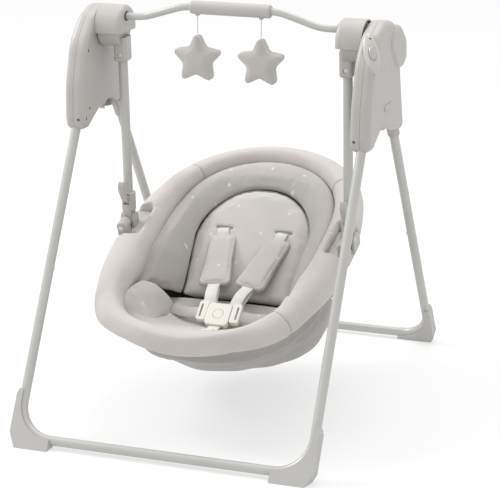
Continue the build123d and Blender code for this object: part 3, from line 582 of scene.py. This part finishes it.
def head_share(u):
    """How much of the rim's head end a place belongs to."""
    return ramp(u, *HEAD_ZONE)


RIM_SEAMS = (0.3585, 0.8715, 0.1415)    # share of the way round the rim from its right side
HEAD_THIN = 0.42        # how much of its inner half the rim loses round the head
FOOT_FLAT = 0.62        # how much of its lower half the rim loses at the foot end
CORNER_THIN = 0.48      # how much of its inner half it loses at the two front corners
HIP_DEEP = 0.45         # how much deeper its inner wall hangs beside the hips
FRONT_THIN = 0.62       # how much of its outer half it loses at the very front
UNDER_SEAM, UNDER_SEAM_DEEP = 0.35, -0.030      # the seam underneath: share of RIM_W out, and its depth
SEAM_R = 0.0006
CROSS_GROOVE, UNDER_GROOVE = (0.007, 0.0022), (0.006, 0.0015)   # width and depth of each sewn groove


def shape_rim(obj):
    """Flatter underneath at the foot end, thinner inside at the front corners, deeper at the hips."""
    ring = oval_near(0)
    tree = point_tree(ring)
    for vertex in obj.data.vertices:
        place = to_seat(vertex.co)
        near, index, _ = tree.find((place.x, place.y, 0))
        along = ring[(index + 1) % len(ring)] - ring[index - 1]
        out = Vector((along.y, -along.x, 0)).normalized()
        inward = -(place - near).dot(out)
        corner = ramp(abs(place.x), *CORNER_ACROSS) * ramp(-place.y, *CORNER_ALONG)
        if inward > 0:
            place += out * inward * max(CORNER_THIN * corner, HEAD_THIN * head_share(near.y))
        else:
            place += out * inward * FRONT_THIN * ramp(-near.y, *FRONT_ZONE)
        if place.z < 0:
            hip = ramp(-place.y, *HIP_FROM) * (1 - ramp(-place.y, *HIP_TO)) * ramp(inward, *HIP_INSIDE)
            place.z *= 1 - FOOT_FLAT * foot_share(place.y) + HIP_DEEP * hip
        vertex.co = SEAT @ place
    obj.data.update()


def make_bumper():
    """Stuffed fabric rim, notched round both clamps, with its cross seams and one seam underneath."""
    rim = copy_node("bumper", "bumper_cover", RIM_CLOTH, "seat")
    puff(rim, 0.004, pressure=3.0, voxel=0.0055, shape=shape_rim)
    tree = tree_of(rim)
    for index, spot in enumerate(RIM_SEAMS):
        line = even(snapped(rim_section(spot), tree), 0.0015, closed=True)
        crease(rim, line, *CROSS_GROOVE)
        seam = snapped(line, tree_of(rim), 0.0002)
        tube(f"rim_seam_{index}", seam, SEAM_R, "seat", THREAD, "rim_fabric", closed=True, sides=6)
    under = [seat(p.x, p.y, UNDER_SEAM_DEEP * (1 - FOOT_FLAT * foot_share(p.y)))
             for p in oval(RIM_W * UNDER_SEAM, 500)]
    seam = even(snapped(under, tree_of(rim)), 0.003, closed=True)
    crease(rim, seam, *UNDER_GROOVE)


def rim_section(share):
    """Loop of points round the rim's section at a share of the way round."""
    ring = oval(0, 400)
    index = int(share * len(ring))
    point = ring[index]
    along = (ring[(index + 1) % len(ring)] - ring[index - 1]).normalized()
    out = Vector((along.y, -along.x, 0))
    loop = []
    for angle in turns(72):
        place = point + out * RIM_W * cos(angle)
        loop.append(seat(place.x, place.y, RIM_W * 0.92 * sin(angle)))
    return loop


# --- sling ---------------------------------------------------------------------------------------
def outer_wall(node, depths, count):
    """Rings on a node's outer wall, found by looking in at it from outside in the seat's plane."""
    tree = tree_of(frame["nodes"][node])
    rings = []
    for n in depths:
        ring = []
        for angle in turns(count):
            direction = Vector((cos(angle), sin(angle), 0))
            start = Vector((0, 0, n)) + direction * 0.6
            hit = tree.ray_cast(SEAT @ start, SEAT.to_3x3() @ -direction)[0]
            ring.append(to_seat(hit) if hit else None)
        rings.append(ring)
    return rings


SLING_DEPTHS = (-0.040, -0.050, -0.062, -0.075, -0.088, -0.101, -0.114, -0.127, -0.140, -0.153, -0.166,
                -0.180, -0.195, -0.210, -0.225)
SLING_COLUMNS = 180
SLING_CLOTH_THICK = 0.003
SEWN_IN, SEWN_DEPTH = -0.008, -0.020    # the sewn edge, from the ring's middle line
# Depth of the swag's lower edge against the angle round from the front, in degrees
SWAG = ((0, -0.050), (12, -0.066), (28, -0.088), (45, -0.098), (60, -0.092), (78, -0.070), (95, -0.045))
SWAG_OUT = 0.008                # how far it stands out
SWAG_EDGE, SWAG_CREST, SWAG_TALL = 0.006, 0.004, 0.036     # below its edge, and above it
FOLD_DEEP = 0.0008
FOLD_TOP, FOLD_TOP_RUN = -0.03, 0.05            # where the folds start, and how soon they are full
FOLD_LOW, FOLD_LOW_RUN = -0.22, 0.08            # where they end, and how soon they fade
FLOOR_SHARES = (0.8, 0.6, 0.4, 0.2, 0.05)       # rings of the floor, from its edge to its middle
FULLNESS = 0.010         # how much further out the lower belly hangs than its frame
BELLY_ZONE = (0.07, 0.13)       # how deep under the rim that starts and is full


def under_rim(angle):
    """Where the sling is sewn on, inside the rim's underside, in one direction from the middle."""
    aim = Vector((cos(angle), sin(angle), 0))
    point = max(oval_near(SEWN_IN), key=lambda p: p.dot(aim) / p.length)
    return Vector((point.x, point.y, SEWN_DEPTH * (1 - 0.9 * foot_share(point.y))))


def sling_rings():
    """Outer wall of the bucket, from inside the rim's underside down to the floor of the sling."""
    floor_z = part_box("seat_sling")[0][2] + SLING_CLOTH_THICK
    rings = outer_wall("seat_sling", SLING_DEPTHS, SLING_COLUMNS)
    sewn = [under_rim(angle) for angle in turns(SLING_COLUMNS)]
    neck = [top.lerp(low, 0.5) if low else None for top, low in zip(sewn, rings[0])]
    world = [[SEAT @ p if p else None for p in ring] for ring in [sewn, neck] + rings]
    for column in range(SLING_COLUMNS):
        last = world[0][column]
        for ring in world:
            if ring[column] is None or ring[column].z < floor_z:
                inward = Vector((0, SEAT.translation.y, 0)).lerp(last, 0.95)
                ring[column] = Vector((inward.x, inward.y, floor_z))
            last = ring[column]
    edge = world[-1]
    middle = sum(edge, Vector()) / SLING_COLUMNS
    middle.z = floor_z
    for share in FLOOR_SHARES:
        world.append([middle.lerp(p, share) for p in edge])
    return world


def open_bowl(rings):
    """Points and faces of rings joined in turn, open at the first and closed at the last."""
    count = len(rings[0])
    points, faces = lofted(rings)
    return points, [face for face in faces if face != tuple(range(count))]


def swag(angle, depth):
    """How far the loose fold under the rim stands out at a place on the sling."""
    turn = degrees(abs(atan2(cos(angle), -sin(angle))))
    above = depth - interpolate(turn, SWAG)
    if turn > SWAG[-1][0] or above < -SWAG_EDGE:
        return 0.0
    out = ramp(above, -SWAG_EDGE, SWAG_CREST) * (1 - ramp(above, SWAG_CREST, SWAG_TALL))
    return SWAG_OUT * out * ramp(SWAG[-1][0] - turn, 0, 25)


def hang_folds(obj):
    """Soft folds that run down from the rim, fading out towards the floor of the sling."""
    points = read_points(obj.data)
    normals = np.array([v.normal[:] for v in obj.data.vertices])
    back = SEAT.inverted()
    for index, vertex in enumerate(obj.data.vertices):
        local = back @ vertex.co
        angle = atan2(local.y, local.x)
        fade = clamp((FOLD_TOP - local.z) / FOLD_TOP_RUN) * clamp((local.z - FOLD_LOW) / FOLD_LOW_RUN)
        wave = sin(9 * angle + 14 * local.z) + 0.6 * sin(17 * angle - 20 * local.z + 1.3)
        points[index] += normals[index] * (FOLD_DEEP * wave * fade + swag(angle, local.z))
        points[index][:2] += normals[index][:2] * ramp(-local.z, *BELLY_ZONE) * FULLNESS
    write_points(obj.data, points)


def make_sling():
    """Fabric bucket hung from the rim: drawn in under it, full below, with soft hanging folds."""
    sling = new_piece("sling", *open_bowl(sling_rings()), "seat", SLING_CLOTH, "sling_fabric")
    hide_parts("seat_sling")
    loose = sling.vertex_groups.new(name="below_the_seam")
    loose.add(range(SLING_COLUMNS, len(sling.data.vertices)), 1.0, "REPLACE")
    apply(sling, "SMOOTH", iterations=10, factor=0.5, vertex_group=loose.name)
    apply(sling, "SUBSURF", levels=1)
    hang_folds(sling)
    apply(sling, "SOLIDIFY", thickness=SLING_CLOTH_THICK, offset=-1)


# --- cushions ------------------------------------------------------------------------------------
BACK_SLOPE = radians(23.5)                  # the back rises this much more than the rim
BACK_U, BACK_N = 0.131, -0.045              # the shoulder slots, on the back pad's face
PAD_HALF, PAD_TOP, PAD_SPRING = 0.128, 0.135, -0.030     # the inner pad's arch
PAD_FOOT_HALF, PAD_FOOT = 0.117, -0.164
PAD_CROWN, PAD_THICK = 0.009, 0.015
SLOT_W = 0.065                              # from the middle to a slot's middle
SLOT_LONG, SLOT_TALL = 0.0175, 0.0034       # half sizes of its binding
SLOT_OUT = 0.010                            # how far the pad's face is crowned there


def back_point(x, y, out=0.0):
    """A point on the back: x across, y up from the slots, out from its face, in seat coordinates."""
    return Vector((x, BACK_U + y * cos(BACK_SLOPE) - out * sin(BACK_SLOPE),
                   BACK_N + y * sin(BACK_SLOPE) + out * cos(BACK_SLOPE)))


def pad_half_width(y):
    """Half width of the inner pad at a height on the back."""
    if y < PAD_SPRING:
        return PAD_FOOT_HALF + (PAD_HALF - PAD_FOOT_HALF) * (y - PAD_FOOT) / (PAD_SPRING - PAD_FOOT)
    return PAD_HALF * max(0.0, 1 - ((y - PAD_SPRING) / PAD_TOP) ** 2) ** 0.5


def picked(line, count):
    """A given number of points out of a close line, from its first to its last."""
    return [line[round(k * (len(line) - 1) / (count - 1))] for k in range(count)]


def pad_arch(grow, count):
    """Even points on the inner pad's edge from its left foot over the top to its right foot."""
    half = PAD_HALF + grow
    points = [Vector((-PAD_FOOT_HALF - grow, PAD_FOOT, 0))]
    for k in range(61):
        angle = pi - pi * k / 60
        points.append(Vector((half * cos(angle), PAD_SPRING + (PAD_TOP + grow) * sin(angle), 0)))
    points.append(Vector((PAD_FOOT_HALF + grow, PAD_FOOT, 0)))
    return picked(even(points, 0.001), count)


def rounded(a, b, normal, up, down, count=28, square=2.4):
    """Closed section between two points: a soft crown above the line and a flatter one below."""
    middle, half = (a + b) / 2, (b - a) / 2
    ring = []
    for angle in turns(count):
        c, s = cos(angle), sin(angle)
        x = abs(c) ** (2 / square) * (1 if c > 0 else -1)
        y = abs(s) ** (2 / square) * (up if s > 0 else -down)
        ring.append(middle + half * x + normal * y)
    return ring


def make_back_pad():
    """Inner arched pad, crowned, with two bound slots for the shoulder straps."""
    rings = []
    out = back_point(0, 0, 1) - back_point(0, 0)
    for share in np.linspace(0, 1, 48):
        y = PAD_FOOT + (PAD_SPRING + PAD_TOP * 0.995 - PAD_FOOT) * sin(share * pi / 2)
        half = pad_half_width(y)
        crown = PAD_CROWN * min(1, half / 0.06)
        ring = rounded(back_point(-half, y), back_point(half, y), out, crown, PAD_THICK, square=3.4)
        rings.append([SEAT @ p for p in ring])
    pad = new_piece("inner_pad", *lofted(rings), "seat", PAD_CLOTH, "cushion_fabric")
    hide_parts("back_pad")
    puff(pad, 0.003, pressure=3.0)
    for side, name in SIDES:
        bind_slot(pad, side, name)
    return pad


def bind_slot(pad, side, name):
    """Press in one strap slot and sew its dark binding round it."""
    middle = side * SLOT_W
    line = [SEAT @ back_point(middle + x, 0, SLOT_OUT) for x in np.linspace(-0.016, 0.016, 24)]
    crease(pad, line, 0.009, 0.006)
    loop = [SEAT @ back_point(middle + SLOT_LONG * cos(angle), SLOT_TALL * sin(angle), SLOT_OUT)
            for angle in turns(48)]
    loop = snapped(loop, tree_of(pad), 0.0006)
    tube(f"slot_binding_{name}", loop, 0.0010, "seat", PIPING, "cushion_fabric", closed=True)


BOLSTER_HIP = -0.108            # u of the horseshoe's two ends on the rim
BOLSTER_DROP = 0.030            # how far those ends hang below the rim's middle
BOLSTER_UP, BOLSTER_DOWN = 0.014, 0.012     # how full it is above and below its middle line
BOLSTER_LIFT, BOLSTER_HEAD_LIFT = 0.002, 0.012      # its outer edge over the rim's middle
BOLSTER_STEPS = 110
HIP_TUCK, TUCK_ZONE = 0.6, (0.0, 0.06)      # how far its two ends are tucked in under the rim


def rim_edge(count):
    """Even points on the rim's inner edge from the left hip round the head to the right hip."""
    edge = []
    for near, far in zip(oval_near(-RIM_W), oval_near(-RIM_W * (1 - HEAD_THIN))):
        point = near.lerp(far, max(head_share(near.y), HIP_TUCK * ramp(-near.y, *TUCK_ZONE)))
        if point.y > BOLSTER_HIP:
            edge.append(point)
    edge.sort(key=lambda p: -atan2(p.x, p.y - BOLSTER_HIP + 0.05))
    return picked(even(edge[::-1], 0.001), count)


def make_bolster():
    """Horseshoe cushion from the inner pad's seam up to the rim, from hip to hip."""
    inner = [back_point(p.x, p.y) for p in pad_arch(0.0015, BOLSTER_STEPS)]
    outer = []
    for p in rim_edge(BOLSTER_STEPS):
        height = BOLSTER_LIFT + BOLSTER_HEAD_LIFT * max(0, p.y / RING_LONG)
        height -= BOLSTER_DROP * ramp(-p.y, 0.0, -BOLSTER_HIP)
        outer.append(Vector((p.x, p.y, height)))
    rings = []
    last = BOLSTER_STEPS - 1
    for k, (a, b) in enumerate(zip(inner, outer)):
        ahead, behind = min(k + 1, last), max(k - 1, 0)
        along = inner[ahead] + outer[ahead] - inner[behind] - outer[behind]
        normal = (b - a).cross(along).normalized()
        normal = -normal if normal.z < 0 else normal
        fade = min(1, 0.45 + 12 * min(k, last - k) / BOLSTER_STEPS)
        section = rounded(a, b, normal, BOLSTER_UP * fade, BOLSTER_DOWN * fade, square=2.6)
        rings.append([SEAT @ p for p in section])
    bolster = new_piece("head_cushion", *lofted(rings), "seat", HEAD_CLOTH, "cushion_fabric")
    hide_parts("head_bolster")
    puff(bolster, 0.004, pressure=3.0)


# Side view of the seat pad's top from its front to its rear: u and n
SEAT_LINE = [(-0.290, -0.018), (-0.262, -0.024), (-0.204, -0.056), (-0.150, -0.0955), (-0.105, -0.117),
             (-0.060, -0.1225), (-0.020, -0.116)]
# The same for its two side edges, which curl up against the wings and the rim
SIDE_LINE = [(-0.290, -0.018), (-0.215, -0.024), (-0.183, -0.028), (-0.150, -0.048), (-0.120, -0.072),
             (-0.090, -0.096), (-0.061, -0.118), (-0.020, -0.116)]
SEAT_PAD_THICK = 0.020
SEAT_PAD_GAP = -0.024           # its edge, from the ring's middle line
FRONT_THINNER, FRONT_NARROWER = 0.45, 0.07      # what its underside loses towards the front
PAD_FRONT_ZONE = (0.18, 0.26)
CROTCH_U = -0.186               # where the crotch strap goes down through it


def seat_height(u):
    """Height of the seat pad's top along its middle."""
    return interpolate(u, SEAT_LINE)


def make_cushion():
    """Seat pad under the thighs, curling up against the rim at both sides."""
    rings = []
    for u in np.linspace(SEAT_LINE[-1][0], SEAT_LINE[0][0], 44):
        half = max(0.05, rim_half_width(u, SEAT_PAD_GAP))
        base = seat_height(u)
        front = ramp(-u, *PAD_FRONT_ZONE)
        top, under = [], []
        for x in np.linspace(-1, 1, 33):
            rise = abs(x) ** 3.5 * max(0.0, interpolate(u, SIDE_LINE) - base)
            top.append(Vector((x * half, u, base + rise + 0.004 * (1 - x * x))))
            low = base + rise - SEAT_PAD_THICK * (1 - FRONT_THINNER * front)
            under.append(Vector((x * half * (0.985 - FRONT_NARROWER * front), u, low)))
        rings.append([SEAT @ p for p in top + under[::-1]])
    cushion = new_piece("seat_pad", *lofted(rings), "seat", PAD_CLOTH, "cushion_fabric")
    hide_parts("seat_cushion")
    puff(cushion, 0.003, pressure=2.5, voxel=0.0045)
    slot_n = seat_height(CROTCH_U) + 0.004
    slot = [seat(x, CROTCH_U, slot_n) for x in np.linspace(-0.019, 0.019, 30)]
    crease(cushion, slot, 0.008, 0.010)


# Crest of the right thigh wing from its front to its rear: w, u and n
WING_CREST = [(0.166, -0.216, -0.044), (0.172, -0.206, -0.020), (0.173, -0.188, -0.006),
              (0.170, -0.163, -0.001), (0.163, -0.135, -0.003), (0.155, -0.108, -0.013),
              (0.146, -0.082, -0.038), (0.137, -0.065, -0.070), (0.130, -0.052, -0.100)]
WING_BASE = 0.126               # w of its foot on the seat pad
WING_IN, WING_OUT = 0.009, 0.005        # how full it is towards the baby and towards the rim


def make_wings():
    """Soft wings that stand up beside the hips, between the pad and the rim."""
    for side, name in SIDES:
        crest = even([Vector((side * w, u, n)) for w, u, n in WING_CREST], 0.006)
        rings = []
        for k, top in enumerate(crest):
            foot = Vector((side * WING_BASE, top.y, seat_height(top.y) + 0.002))
            normal = Vector((-side * 0.9, 0, 0.45)).normalized()
            full = 0.5 + 0.5 * sin(pi * k / (len(crest) - 1)) ** 0.5
            section = rounded(foot, top, normal, WING_IN * full, WING_OUT, 24)
            rings.append([SEAT @ p for p in section])
        wing = new_piece(f"wing_{name}", *lofted(rings), "seat", PAD_CLOTH, "cushion_fabric")
        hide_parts("thigh_wings")
        puff(wing, 0.004, voxel=0.0035)


def make_piping(pad):
    """Dark piped seam round the inner pad."""
    line = [SEAT @ back_point(p.x, p.y, 0.004) for p in pad_arch(0.0012, 220)]
    line = even(snapped(line, tree_of(pad), 0.0010), 0.003)
    tube("pad_piping", line, 0.0013, "seat", PIPING, "cushion_fabric")


# --- harness -------------------------------------------------------------------------------------
WEB_WIDE, WEB_THICK = 0.025, 0.0018
STRAP_LOW, STRAP_HIGH = (0.027, -0.086, -0.077), (0.065, 0.129, -0.042)   # a shoulder strap's two ends
STRAP_PAD = (0.054, 0.128, 0.58)        # the sleeve's width, length and place along the strap
SLEEVE_WIDER, SLEEVE_TAPER, SLEEVE_LONGER = 1.12, 0.10, 1.14    # against its plain CAD solid
SLEEVE_CORNER = 0.010
SLACK_LOOP = ((0.020, 0.009), (0.006, 0.006), (-0.006, 0.001))      # along the strap and out from it
CLIP, HIP_END = (0.042, -0.108, -0.080), (0.118, -0.072, -0.106)    # the right waist strap's two ends
SLEEVE_REACH = 0.062                    # from its middle to where the webbing comes out


def strap_frame(side):
    """Low end, direction, sideways and outward vectors of a shoulder strap, in seat coordinates."""
    low, high = (Vector((side * end[0], end[1], end[2])) for end in (STRAP_LOW, STRAP_HIGH))
    run = (high - low).normalized()
    across = (Vector((1, 0, 0)) - run * run.x).normalized()
    return low, run, across, across.cross(run), (high - low).length


def sleeve_place(side, a, r, o):
    """A point across, along and out from the middle of a sleeve, which widens towards the buckle."""
    low, run, across, out, length = strap_frame(side)
    wide = SLEEVE_WIDER - SLEEVE_TAPER * r / (STRAP_PAD[1] / 2)
    return low + run * (length * STRAP_PAD[2] + r * SLEEVE_LONGER) + across * a * wide + out * o


def shape_sleeves(obj):
    """Lengthen both sleeves and widen them towards the buckle."""
    for vertex in obj.data.vertices:
        side = 1 if vertex.co.x > 0 else -1
        low, run, across, out, length = strap_frame(side)
        place = to_seat(vertex.co) - low - run * length * STRAP_PAD[2]
        vertex.co = SEAT @ sleeve_place(side, place.dot(across), place.dot(run), place.dot(out))
    obj.data.update()


def sleeve_outline(side, inset, lift):
    """Loop of points on a shoulder sleeve, in from its edge and up from its middle."""
    half_w, half_l = STRAP_PAD[0] / 2 - inset, STRAP_PAD[1] / 2 - inset
    corner = SLEEVE_CORNER
    loop = []
    for angle in turns(160):
        x = max(-half_w, min(half_w, half_l * 1.5 * cos(angle)))
        y = max(-half_l, min(half_l, half_l * 1.5 * sin(angle)))
        over = max(0.0, abs(x) - (half_w - corner)), max(0.0, abs(y) - (half_l - corner))
        reach = hypot(*over)
        if reach > corner:
            x -= (over[0] - over[0] * corner / reach) * (1 if x > 0 else -1)
            y -= (over[1] - over[1] * corner / reach) * (1 if y > 0 else -1)
        loop.append(SEAT @ sleeve_place(side, x, y, lift))
    return loop


def make_shoulder_pads():
    """Two padded strap sleeves, each with a bound edge and a row of stitching inside it; the binding is
    coloured darker than the sleeve as painted shadow of the gap along the edge.
    """
    pads = copy_node("shoulder_pads", "strap_sleeves", SLEEVE_CLOTH, "seat")
    puff(pads, 0.0035, pressure=3.0, voxel=0.003, shape=shape_sleeves)
    for side, name in SIDES:
        surface = tree_of(pads)
        stitch = even(snapped(sleeve_outline(side, 0.0045, 0.009), surface), 0.0015, closed=True)
        crease(pads, stitch, 0.0035, 0.0013)
        edge = even(snapped(sleeve_outline(side, -0.001, 0), surface, 0.0002), 0.0025, closed=True)
        # the bound edge's dark colour is painted shadow of the gap along the sleeve's edge
        tube(f"sleeve_binding_painted_shadow_{name}", edge, 0.0014, "seat", BINDING_WITH_PAINTED_SHADOW, "cushion_fabric", closed=True)


def strap(name, points, sideways, mat=WEB, slot="webbing"):
    """One piece of harness webbing through points in seat coordinates."""
    line = smooth_line([SEAT @ Vector(p) for p in points], 0.005)
    across = [SEAT.to_3x3() @ Vector(sideways)] * len(line)
    piece = ribbon(name, line, across, WEB_WIDE, WEB_THICK, "seat", mat, slot)
    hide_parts("harness_webbing")


def make_shoulder_strap(side, name):
    """A strap out of its slot, under its sleeve, and in a slack loop down to the buckle."""
    low, run, across, out, length = strap_frame(side)
    slot = back_point(side * SLOT_W, 0, -0.004)
    over = back_point(side * SLOT_W, -0.006, 0.014)
    pad_top = low + run * (length * STRAP_PAD[2] + SLEEVE_REACH) + out * 0.001
    pad_foot = low + run * (length * STRAP_PAD[2] - SLEEVE_REACH)
    strap(f"strap_top_{name}", [slot, over, pad_top], across)
    loop = [low + run * along + out * lift for along, lift in SLACK_LOOP]
    strap(f"strap_loop_{name}", [pad_foot] + loop, across)
    under = [pad_foot - out * 0.003, low + run * 0.012 - out * 0.003, low - run * 0.004]
    strap(f"strap_under_{name}", under, across)


def make_webbing():
    """Shoulder straps with their slack loops, padded waist straps, and the crotch strap."""
    for side, name in SIDES:
        make_shoulder_strap(side, name)
        clip = Vector((side * CLIP[0], *CLIP[1:]))
        middle = clip + Vector((side * 0.030, 0.010, -0.012))
        hip = Vector((side * HIP_END[0], *HIP_END[1:]))
        strap(f"waist_{name}", [clip, middle, hip], (0, 0.95, 0.3), PAD_CLOTH, "cushion_fabric")
    pad_n = seat_height(CROTCH_U)
    crotch = [(0, -0.134, -0.090), (0, -0.160, -0.082), (0, CROTCH_U + 0.003, pad_n + 0.001),
              (0, CROTCH_U, pad_n - 0.014)]
    strap("crotch_strap", crotch, (1, 0, 0))


# --- toys ----------------------------------------------------------------------------------------
def make_star(side):
    """Plush star with a seam round its edge."""
    node = f"toy_star_{side}"
    star = copy_node(node, f"plush_star_{side}", TOY_CLOTH, node)
    puff(star, 0.006, voxel=0.004)
    low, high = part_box(node)
    middle = (low[1] + high[1]) / 2
    edge = [v.co.copy() for v in star.data.vertices if abs(v.co.y - middle) < 0.0012]
    crease(star, edge, 0.0035, 0.0012)


def make_string(side):
    """The star's limp string, straight down from its lug."""
    node = f"toy_string_{side}"
    low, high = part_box(node)
    x, y = (low[0] + high[0]) / 2, (low[1] + high[1]) / 2
    top = Vector((x, y, high[2]))
    bottom = Vector((x, y, low[2]))
    line = [top.lerp(bottom, k / 12) for k in range(13)]
    string = tube(f"string_{side}", line, (high[0] - low[0]) / 2, node, STRING, "string")
    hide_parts(node)


# --- studio --------------------------------------------------------------------------------------
CAMERA_PLACE = Vector((1.3747, -3.7492, 1.4688))
CAMERA_LOOK = Vector((-0.3378, 0.9030, -0.2656))
CAMERA_LENS = 147.1
CAMERA_TURN = (0.0506, 0.0646)   # from the line of sight to the view's middle, as shares of its width
SENSOR = 36.0
UP = Vector((0, 0, 1))
LIGHT_AIM = Vector((0, 0, 0.3))


def make_camera():
    """Long lens from the right of the front, a little above the toy bar."""
    data = bpy.data.cameras.new("camera")
    data.lens = CAMERA_LENS
    data.sensor_width = SENSOR
    data.clip_end = 50
    ahead = CAMERA_LOOK.normalized()
    right = ahead.cross(UP).normalized()
    reach = CAMERA_LENS / SENSOR
    aim = (ahead * reach + right * CAMERA_TURN[0] - right.cross(ahead) * CAMERA_TURN[1]).normalized()
    right = aim.cross(UP).normalized()
    turn = Matrix((right, right.cross(aim), -aim)).transposed().to_4x4()
    camera = bpy.data.objects.new("camera", data)
    camera.matrix_world = Matrix.Translation(CAMERA_PLACE) @ turn
    bpy.context.scene.collection.objects.link(camera)
    bpy.context.scene.camera = camera


def add_light(name, place, size, power):
    """A square soft light aimed at the seat."""
    data = bpy.data.lights.new(name, "AREA")
    data.size = size
    data.energy = power
    light = bpy.data.objects.new(name, data)
    light.location = place
    light.rotation_euler = (LIGHT_AIM - Vector(place)).to_track_quat("-Z", "Y").to_euler()
    bpy.context.scene.collection.objects.link(light)


FLOOR_GLOW = 0.58        # a lit sweep: keeps the floor white and its shadow soft
FLOOR_REACH = 14.0


def make_studio():
    """White sweep floor, bright surround and large soft lights from above and the left."""
    mesh = bpy.data.meshes.new("floor")
    corners = [(x * FLOOR_REACH, y * FLOOR_REACH, 0) for x, y in ((-1, -1), (1, -1), (1, 1), (-1, 1))]
    mesh.from_pydata(corners, [], [(0, 1, 2, 3)])
    floor = bpy.data.objects.new("floor", mesh)
    bpy.context.scene.collection.objects.link(floor)
    paint = Nodes("floor_paint", (0.32, 0.32, 0.32), 0.9)
    paint.base(paint.tint(paint.noise(3, 2), ((0.3, 0.99), (0.7, 1.0))))
    paint.shader.inputs["Emission Color"].default_value = (1, 1, 1, 1)
    paint.shader.inputs["Emission Strength"].default_value = FLOOR_GLOW
    mesh.materials.append(paint.mat)
    world = bpy.data.worlds.new("studio")
    bpy.context.scene.world = world
    world.use_nodes = True
    back = world.node_tree.nodes["Background"]
    back.inputs["Color"].default_value = (1, 1, 1, 1)
    back.inputs["Strength"].default_value = 1.0
    add_light("key", (-3.0, -0.2, 2.9), size=1.5, power=88)
    add_light("top", (0.2, 1.0, 3.6), size=2.2, power=44)
    view = bpy.context.scene.view_settings
    view.view_transform = "Standard"
    view.look = "None"


dress_nodes()
make_camera()
for toy_side in ("left", "right"):
    make_string(toy_side)
    make_star(toy_side)
make_bumper()
make_sling()
make_bolster()
back = make_back_pad()
make_cushion()
make_wings()
make_piping(back)
make_shoulder_pads()
make_webbing()
make_studio()
